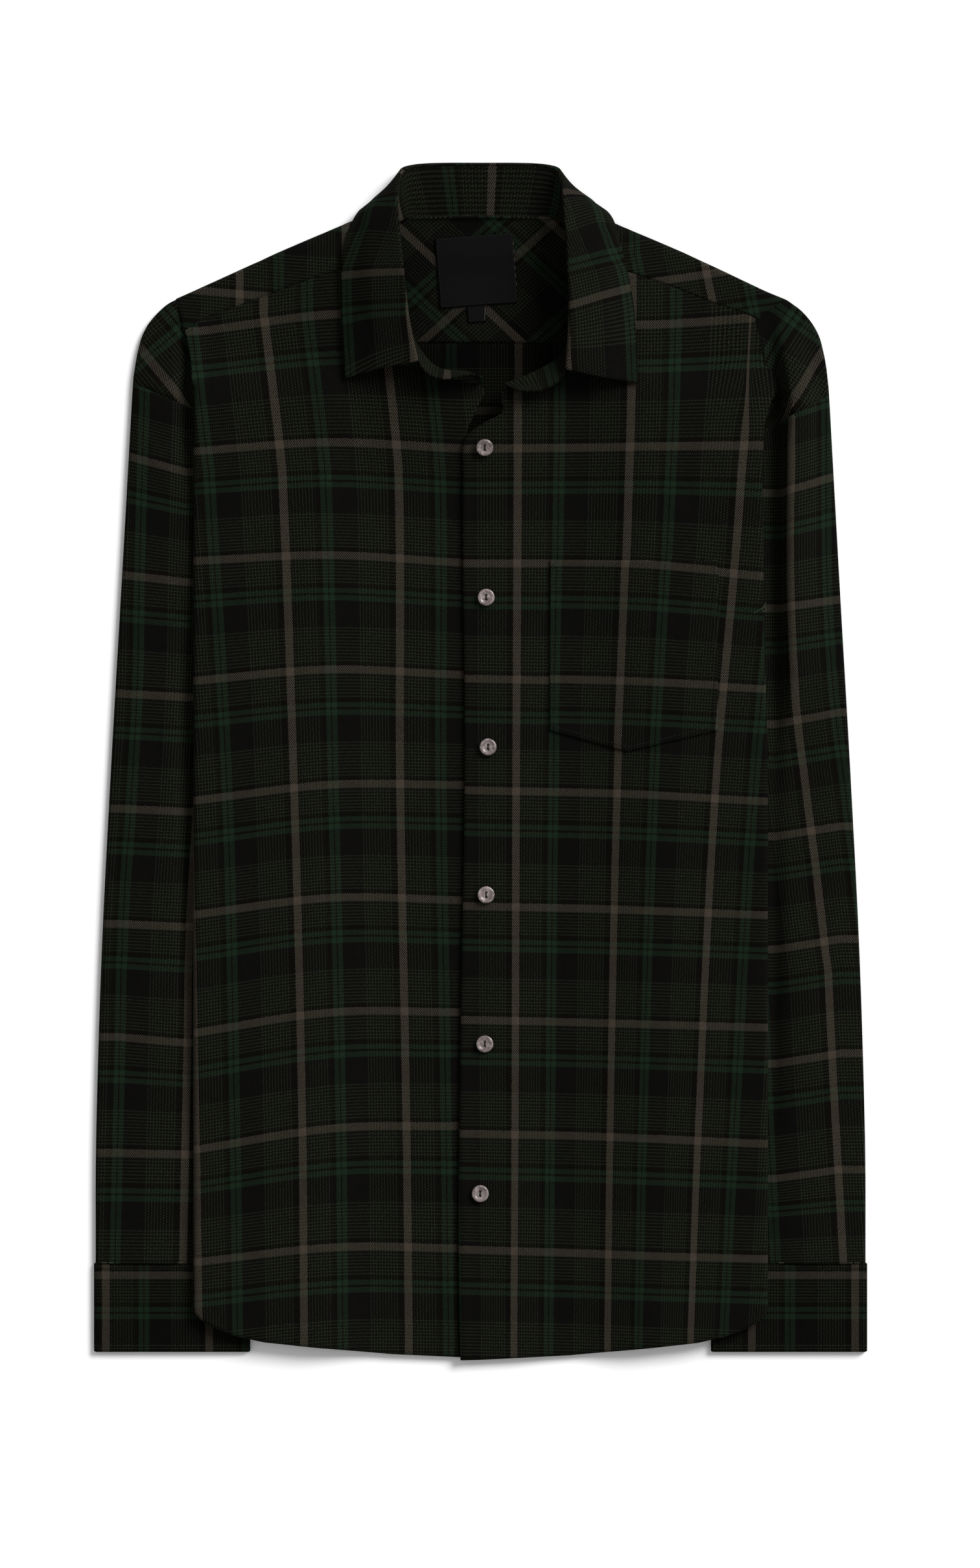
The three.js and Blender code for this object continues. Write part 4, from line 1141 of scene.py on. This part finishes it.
def pocketSurface():
    half = np.linspace(0, 1, 45)
    x = np.concatenate([mix(pocket["left"], pocket["middle"], half), mix(pocket["middle"], pocket["right"], half[1:])])
    reach = np.where(x < pocket["middle"], pocket["middle"] - pocket["left"], pocket["right"] - pocket["middle"])
    low = mix(pocket["point"], pocket["corner"], np.abs(x - pocket["middle"]) / reach)
    share = np.linspace(0, 1, 90)
    y = mix(low[:, None], pocket["top"], share[None, :])
    x = x[:, None] * np.ones_like(y)
    z = sideLevel("left", x, y) + clothWall + pocketGap
    return np.stack([x, y, z], -1), frontPlaid("left", x + 0.6, y - 0.9)


# Label and tab

patches = {
    "neck_label": {"x": -2.8, "y": 328, "wide": 51.5, "tall": 46, "turn": 0.075, "thick": 1},
    "size_tab": {"x": -2.6, "y": 299, "wide": 11.4, "tall": 10, "turn": 0.075, "thick": 1},
}


def patchSurface(patch):
    u = np.linspace(-0.5, 0.5, 40)[:, None] * patch["wide"]
    v = np.linspace(-0.5, 0.5, 36)[None, :] * patch["tall"]
    x = patch["x"] + u * math.cos(patch["turn"]) - v * math.sin(patch["turn"])
    y = patch["y"] + u * math.sin(patch["turn"]) + v * math.cos(patch["turn"])
    z = yokeLevel(x, y) + (yokeWall + patch["thick"]) / 2 + seamGap
    return np.stack([x, y, z], -1), np.stack([u + 0 * v, v + 0 * u], -1)


# A plain dark woven tape: fine ribs both ways. Its colours are the label's own dark, darkened further as painted shade
# of the neck hollow.
def tape(name):
    maker = NodeMaker(name)
    uv = maker.node("ShaderNodeUVMap", {"uv_map": "cloth"})
    parts = maker.node("ShaderNodeSeparateXYZ", None, {"Vector": uv})
    across = Wire(maker, parts.socket.node.outputs["X"])
    along = Wire(maker, parts.socket.node.outputs["Y"])
    ribs = across.math("PINGPONG", across * 2.4, 0.5) + along.math("PINGPONG", along * 2.4, 0.5)
    # The label's own dark colour, made about a third darker: painted shade of the neck.
    colour = maker.blend(ribs, (0.0022, 0.0022, 0.0022, 1), (0.0041, 0.0040, 0.0041, 1))
    bump = maker.node("ShaderNodeBump", None, {"Strength": 0.3, "Distance": 0.0002, "Height": ribs})
    return maker.finish({"Base Color": colour, "Roughness": 0.7, "Specular IOR Level": 0.03, "Normal": bump})


woven = tape("woven_label")


# Buttons

buttonShape = {"radius": 5.65, "thick": 2.6, "rim": 0.9, "dish": 0.5, "hole": 0.85, "spread": 1.5}


# Pearly shell: cloudy bands of pinkish grey under a clear polish.
def shell(name):
    maker = NodeMaker(name)
    place = maker.node("ShaderNodeTexCoord", None, None, 3)
    cloud = maker.node("ShaderNodeTexNoise", None, {"Vector": place, "Scale": 260.0, "Detail": 4.0, "Distortion": 1.2})
    stops = [(0.34, (0.085, 0.066, 0.064, 1)), (0.5, (0.15, 0.12, 0.115, 1)), (0.66, (0.27, 0.225, 0.215, 1))]
    colour = maker.node("ShaderNodeValToRGB", {"stops": stops}, {"Fac": cloud})
    return maker.finish({"Base Color": colour, "Roughness": 0.3, "Coat Weight": 0.4, "Coat Roughness": 0.12})


pearl = shell("shell_button")


# A dished disc on a square grid wrapped to a circle, with two deep round dents for the holes.
def buttonPiece(name):
    low, high = (np.array(corner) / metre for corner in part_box(name))
    middle = (low + high) / 2
    tip = math.asin(min(0.5, max(0, (high[2] - low[2] - buttonShape["thick"]) / (2 * buttonShape["radius"]))))
    rings = np.concatenate([np.linspace(0, 4.6, 34), np.linspace(4.75, buttonShape["radius"], 7)])
    angle = np.linspace(0, 2 * math.pi, 73)[:-1]
    r, a = np.meshgrid(rings, angle, indexing="ij")
    x, y = r * np.cos(a), r * np.sin(a)
    edge = np.clip((r - (buttonShape["radius"] - buttonShape["rim"])) / buttonShape["rim"], 0, 1)
    top = buttonShape["thick"] / 2 - 0.7 * (1 - np.sqrt(np.maximum(1 - edge ** 2, 0)))
    top = top - buttonShape["dish"] * (1 - ease(2.6, 4.4, r))
    away = np.minimum(np.hypot(x, y - buttonShape["spread"]), np.hypot(x, y + buttonShape["spread"]))
    top = top - 1.5 * (1 - ease(buttonShape["hole"] - 0.2, buttonShape["hole"] + 0.1, away))
    bottom = -buttonShape["thick"] / 2 + 0.5 * (1 - np.sqrt(np.maximum(1 - edge ** 2, 0)))
    count = r.size
    size = len(angle)
    vertices = np.concatenate([np.stack([x, y, top], -1).reshape(-1, 3), np.stack([x, y, bottom], -1).reshape(-1, 3)])
    index = np.arange(count).reshape(r.shape)
    after = np.roll(index, -1, 1)
    quads = np.stack([index[1:-1], index[2:], after[2:], after[1:-1]], -1).reshape(-1, 4)
    faces = quads.tolist() + (quads[:, ::-1] + count).tolist()
    rim = np.stack([index[-1], index[-1] + count, after[-1] + count, after[-1]], -1)
    faces += rim.tolist()
    fans = np.stack([np.zeros(size, int), index[1], after[1]], -1)
    faces += fans.tolist() + (fans[:, ::-1] + count).tolist()
    vertices, faces = dropUnused(vertices, faces)
    turned = np.array([[1, 0, 0], [0, math.cos(tip), -math.sin(tip)], [0, math.sin(tip), math.cos(tip)]])
    piece = makeObject(name + "_shell", vertices @ turned.T + middle, faces, pearl)
    thread = threadPiece(name + "_thread", turned, middle)
    return piece, thread


# Keeps only the vertices that faces use.
def dropUnused(vertices, faces):
    used = np.unique(np.concatenate([np.array(face) for face in faces]))
    where = np.full(len(vertices), -1)
    where[used] = np.arange(len(used))
    return vertices[used], [where[np.array(face)].tolist() for face in faces]


# A round tube along a path: rings of eight points square to it, closed at both ends by a point.
def tubes(name, paths, radius, material, sides=8):
    vertices, faces, count = [], [], 0
    for path in paths:
        path = np.asarray(path, float)
        along = unit(np.gradient(path, axis=0))
        side = unit(np.cross(along, np.array([0.13, 0.05, 1.0])))
        up = np.cross(side, along)
        angle = np.linspace(0, 2 * math.pi, sides + 1)[:-1]
        ring = np.cos(angle)[None, :, None] * side[:, None] + np.sin(angle)[None, :, None] * up[:, None]
        body = (path[:, None] + ring * radius).reshape(-1, 3)
        vertices += [body, path[:1] - along[:1] * radius * 0.5, path[-1:] + along[-1:] * radius * 0.5]
        index = count + np.arange(len(body)).reshape(len(path), sides)
        after = np.roll(index, -1, 1)
        faces += np.stack([index[:-1], after[:-1], after[1:], index[1:]], -1).reshape(-1, 4).tolist()
        start, end = count + len(body), count + len(body) + 1
        faces += np.stack([after[0], index[0], np.full(sides, start)], -1).tolist()
        faces += np.stack([index[-1], after[-1], np.full(sides, end)], -1).tolist()
        count += len(body) + 2
    return makeObject(name, np.concatenate(vertices), faces, material)


def plain(name, colour, roughness):
    maker = NodeMaker(name)
    place = maker.node("ShaderNodeTexCoord", None, None, 3)
    fibre = maker.node("ShaderNodeTexNoise", None, {"Vector": place, "Scale": 3000.0, "Detail": 2.0})
    mixed = maker.blend(fibre, tuple(c * 0.7 for c in colour) + (1,), tuple(c * 1.3 for c in colour) + (1,))
    return maker.finish({"Base Color": mixed, "Roughness": roughness, "Specular IOR Level": 0.15})


darkThread = plain("dark_thread", (0.006, 0.0065, 0.006), 0.85)
seamThread = plain("seam_thread", (0.0085, 0.0095, 0.007), 0.85)
paleThread = plain("pale_thread", (0.062, 0.056, 0.043), 0.85)
greenThread = plain("green_thread", (0.042, 0.056, 0.030), 0.85)


def threadPiece(name, turned, middle):
    paths = []
    for off in (-0.28, 0.0, 0.28):
        t = np.linspace(-1, 1, 13)
        y = buttonShape["spread"] * t
        z = buttonShape["thick"] / 2 - buttonShape["dish"] + 0.22 - 1.3 * np.abs(t) ** 10
        path = np.stack([off * (1 - 0.3 * t ** 2), y, z], -1)
        paths.append(path @ turned.T + middle)
    return tubes(name, paths, 0.19, darkThread, 6)


# Stitches: short humps of thread along a path, one for each step of its length.
def stitchesAlong(path, every, long, hump):
    path = np.asarray(path, float)
    walked = np.concatenate([[0], np.cumsum(np.linalg.norm(np.diff(path, axis=0), axis=1))])
    share = np.linspace(0, 1, 5)
    at = np.arange(0.2, walked[-1] - long, every)[:, None] + share[None, :] * long
    points = np.stack([np.interp(at, walked, path[:, axis]) for axis in range(3)], -1)
    points[..., 2] += hump * np.sin(math.pi * share)
    return list(points)


# A line between corners in plan, with a level found for each place.
def seamPath(corners, level):
    corners = np.array(corners, float)
    spots = np.concatenate([mix(a, b, np.linspace(0, 1, 30)[:, None]) for a, b in zip(corners[:-1], corners[1:])])
    return np.stack([spots[:, 0], spots[:, 1], level(spots[:, 0], spots[:, 1])], -1)


stitch = {"every": 3.1, "long": 2.4, "hump": 0.12, "radius": 0.16}
cuffStitch = {"fromX": 157, "toX": 254.5, "lowY": -390.6, "topY": -339.4, "paleY": -335.2}
pocketStitch = {"in": 2.2, "point": 2.6}
labelStitch = {"in": 0.8, "paleFrom": -12, "paleTo": 19}


def stitchPiece(name, lines, thread, every=stitch["every"], long=stitch["long"]):
    paths = [one for line in lines for one in stitchesAlong(line, every, long, stitch["hump"])]
    piece = tubes(name, paths, stitch["radius"], thread, 5)
    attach(piece, "root")
    return piece


def cuffStitches(side):
    mirror = 1 if side == "left" else -1
    ends = mirror * cuffStitch["fromX"], mirror * cuffStitch["toX"]

    def top(x, y):
        inside, outside = cuff["inX"] + cuff["top"] / 2, cuff["outX"] - cuff["top"] / 2
        across = np.clip((np.abs(x) - inside) / (outside - inside), 0, 1)
        along = (y - cuff["lowY"]) / (cuffTopY - cuff["lowY"])
        return cuff["top"] + cuffWall / 2 + cuff["bulge"] * np.sin(math.pi * across) * np.sin(math.pi * along) + 0.05

    low = seamPath([(ends[0], cuffStitch["lowY"]), (ends[1], cuffStitch["lowY"])], top)
    high = seamPath([(ends[0], cuffStitch["topY"]), (ends[1], cuffStitch["topY"])], top)
    stitchPiece(f"cuff_{side}_stitches", [low, high], seamThread)
    pale = seamPath([(mirror * 199, cuffStitch["paleY"]), (ends[1], cuffStitch["paleY"])],
                    lambda x, y: np.full_like(x, levels["sleeveTop"] + clothWall * 0.75))
    stitchPiece(f"cuff_{side}_pale_stitches", [pale], paleThread, 4.6, 3.4)


def pocketStitches():
    left, right = pocket["left"] + pocketStitch["in"], pocket["right"] - pocketStitch["in"]
    rise = pocketStitch["in"] + pocketStitch["point"] * 0.2
    corners = [(left, pocket["top"] - 0.6), (left, pocket["corner"] + rise), (pocket["middle"], pocket["point"] + rise),
               (right, pocket["corner"] + rise), (right, pocket["top"] - 0.6)]
    path = seamPath(corners, lambda x, y: sideLevel("left", x, y) + clothWall + pocketGap + halfCloth + 0.05)
    stitchPiece("pocket_stitches", [path], seamThread)


# Round the label in dark thread, with the pale thread of its loom showing at one side.
def labelStitches():
    patch = patches["neck_label"]
    turn = patch["turn"]

    def spot(u, v):
        return (patch["x"] + u * math.cos(turn) - v * math.sin(turn), patch["y"] + u * math.sin(turn) + v * math.cos(turn))

    def top(x, y):
        return yokeLevel(x, y) + yokeWall / 2 + seamGap + patch["thick"] + 0.05

    u, v = patch["wide"] / 2 - labelStitch["in"], patch["tall"] / 2 - labelStitch["in"]
    loop = seamPath([spot(-u, -v), spot(-u, v), spot(u, v), spot(u, -v), spot(-u, -v)], top)
    stitchPiece("label_stitches", [loop], darkThread, 2.6, 2)
    side = seamPath([spot(u + 1, labelStitch["paleFrom"]), spot(u + 1, labelStitch["paleTo"])], top)
    tab = patches["size_tab"]
    edge = seamPath([(tab["x"] + tab["wide"] / 2, tab["y"] + 4), (tab["x"] + tab["wide"] / 2 - 0.6, tab["y"] - 4.4)], top)
    stitchPiece("label_pale_stitches", [side], paleThread, 5.4, 2.2)
    stitchPiece("size_tab_pale_edge", [edge], paleThread, 8.6, 8)


# A loose end of thread caught at the side fold.
tuft = {
    "strand": [(190.4, 106.3), (189.9, 105), (188.8, 103.4), (187.2, 101.8), (184.5, 100.1), (182, 98.5)],
    "loop": [(188.8, 103.4), (190.4, 101.9), (190.1, 100.2), (188.4, 100), (187.8, 101.4), (188.6, 103)],
    "above": 0.9,
    "radius": 0.14,
}


def threadTuft():
    paths = []
    for name in ("strand", "loop"):
        spots = np.array(tuft[name], float)
        curve = betweenRows(spots, np.linspace(0, len(spots) - 1, 28))
        level = sideLevel("left", np.minimum(curve[:, 0], foldStartX), curve[:, 1]) + halfCloth + tuft["above"]
        paths.append(np.stack([curve[:, 0], curve[:, 1], level - 0.25 * np.maximum(curve[:, 0] - foldStartX, 0)], -1))
    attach(tubes("thread_tuft", paths, tuft["radius"], greenThread, 6), "root")


# Making the pieces

def place(piece, nodes, slot):
    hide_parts(*nodes)
    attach(piece, "root")
    return piece


grid, plaidAt = backGrid()
# The back's inner faces take the half-dark copy of the plaid: painted shade in the neck hollow.
back = place(clothSheet("back_cloth", grid, clothWall, plaid, plaidAt, lining=shadedInsidePlaid), ["back"], "plaid_flannel")
# The inner yoke's faces take the darker copy of the plaid: painted shade under the collar.
grid, lining, shellAt = yokeSurface()
yoke = place(clothSheet("yoke_cloth", grid, yokeWall, plaid, lining, shellAt, lining=shadedLiningPlaid), ["yoke"],
             "plaid_flannel")
for side in ("right", "left"):
    grid, plaidAt = frontGrid(side)
    place(clothSheet(f"front_{side}_cloth", grid, clothWall, plaid, plaidAt), [f"front_{side}"],
                         "plaid_flannel")
    grid, plaidAt, split = sleeveSurface(side)
    place(clothSheet(f"sleeve_{side}_cloth", grid, clothWall, plaid, plaidAt, split=split),
                          [f"sleeve_{side}"], "plaid_flannel")
    grid, plaidAt = cuffSurface(side)
    place(clothSheet(f"cuff_{side}_cloth", grid, cuffWall, bandPlaid, plaidAt, ring=True),
                        [f"cuff_{side}"], "plaid_flannel")
print("panels made")
grid, plaidAt = standSurface()
stand = place(clothSheet("collar_stand_cloth", grid, standWall, bandPlaid, plaidAt), ["collar_stand"],
              "plaid_flannel")
grid, plaidAt = leafSurface()
leaf = place(clothSheet("collar_leaf_cloth", grid, clothWall, plaid, plaidAt), ["collar_leaf"], "plaid_flannel")
grid, plaidAt = pocketSurface()
pocketPiece = place(clothSheet("pocket_cloth", grid, clothWall, plaid, plaidAt), ["pocket"], "plaid_flannel")
for name, patch in patches.items():
    grid, plaidAt = patchSurface(patch)
    place(clothSheet(name + "_tape", grid, patch["thick"], woven, plaidAt), [name], "woven_label")
print("collar, pocket and label made")
for number in range(1, 7):
    piece, thread = buttonPiece(f"button_{number}")
    place(piece, [f"button_{number}"], "shell_button")
    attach(thread, "root")
print("buttons made")
for side in ("right", "left"):
    cuffStitches(side)
pocketStitches()
labelStitches()
threadTuft()
print("stitches made")


# Floor, light and camera

studio = {
    "floor": 6.0,
    "floorColour": (0.9, 0.9, 0.9, 1),
    "world": 0.5,
    "key": 4.46,
    "keySoft": 30,
    "keyFrom": (0.6, 0.56, 0.54),
}


def makeFloor():
    half = studio["floor"] / 2 / metre
    corners = np.array([(-half, -half, 0), (half, -half, 0), (half, half, 0), (-half, half, 0)], float)
    maker = NodeMaker("floor_paint")
    paint = maker.finish({"Base Color": studio["floorColour"], "Roughness": 1.0, "Specular IOR Level": 0.0})
    floor = makeObject("floor", corners, [[0, 1, 2, 3]], paint, smooth=False)


def makeLight():
    world = bpy.data.worlds.new("studio")
    world.use_nodes = True
    world.node_tree.nodes["Background"].inputs["Color"].default_value = (1, 1, 1, 1)
    world.node_tree.nodes["Background"].inputs["Strength"].default_value = studio["world"]
    bpy.context.scene.world = world
    light = bpy.data.lights.new("key", "SUN")
    light.energy = studio["key"]
    light.angle = math.radians(studio["keySoft"])
    key = bpy.data.objects.new("key", light)
    direction = -unit(np.array(studio["keyFrom"]))
    key.rotation_mode = "QUATERNION"
    key.rotation_quaternion = Vector(direction).to_track_quat("-Z", "Y")
    bpy.context.scene.collection.objects.link(key)


view = {"width": 1512, "height": 2420, "pixel": 0.433, "x": 6.3, "y": -15.2, "away": 4000}


def makeCamera():
    camera = bpy.data.cameras.new("camera")
    eye = bpy.data.objects.new("camera", camera)
    tall = view["height"] * view["pixel"]
    camera.sensor_width = 36
    camera.lens = 36 * view["away"] / tall
    camera.clip_end = 50
    eye.location = (view["x"] * metre, view["y"] * metre, (view["away"] + 6) * metre)
    bpy.context.scene.collection.objects.link(eye)
    bpy.context.scene.camera = eye


makeFloor()
makeLight()
makeCamera()
bpy.context.scene.view_settings.view_transform = "Standard"
print("floor, light and camera made")
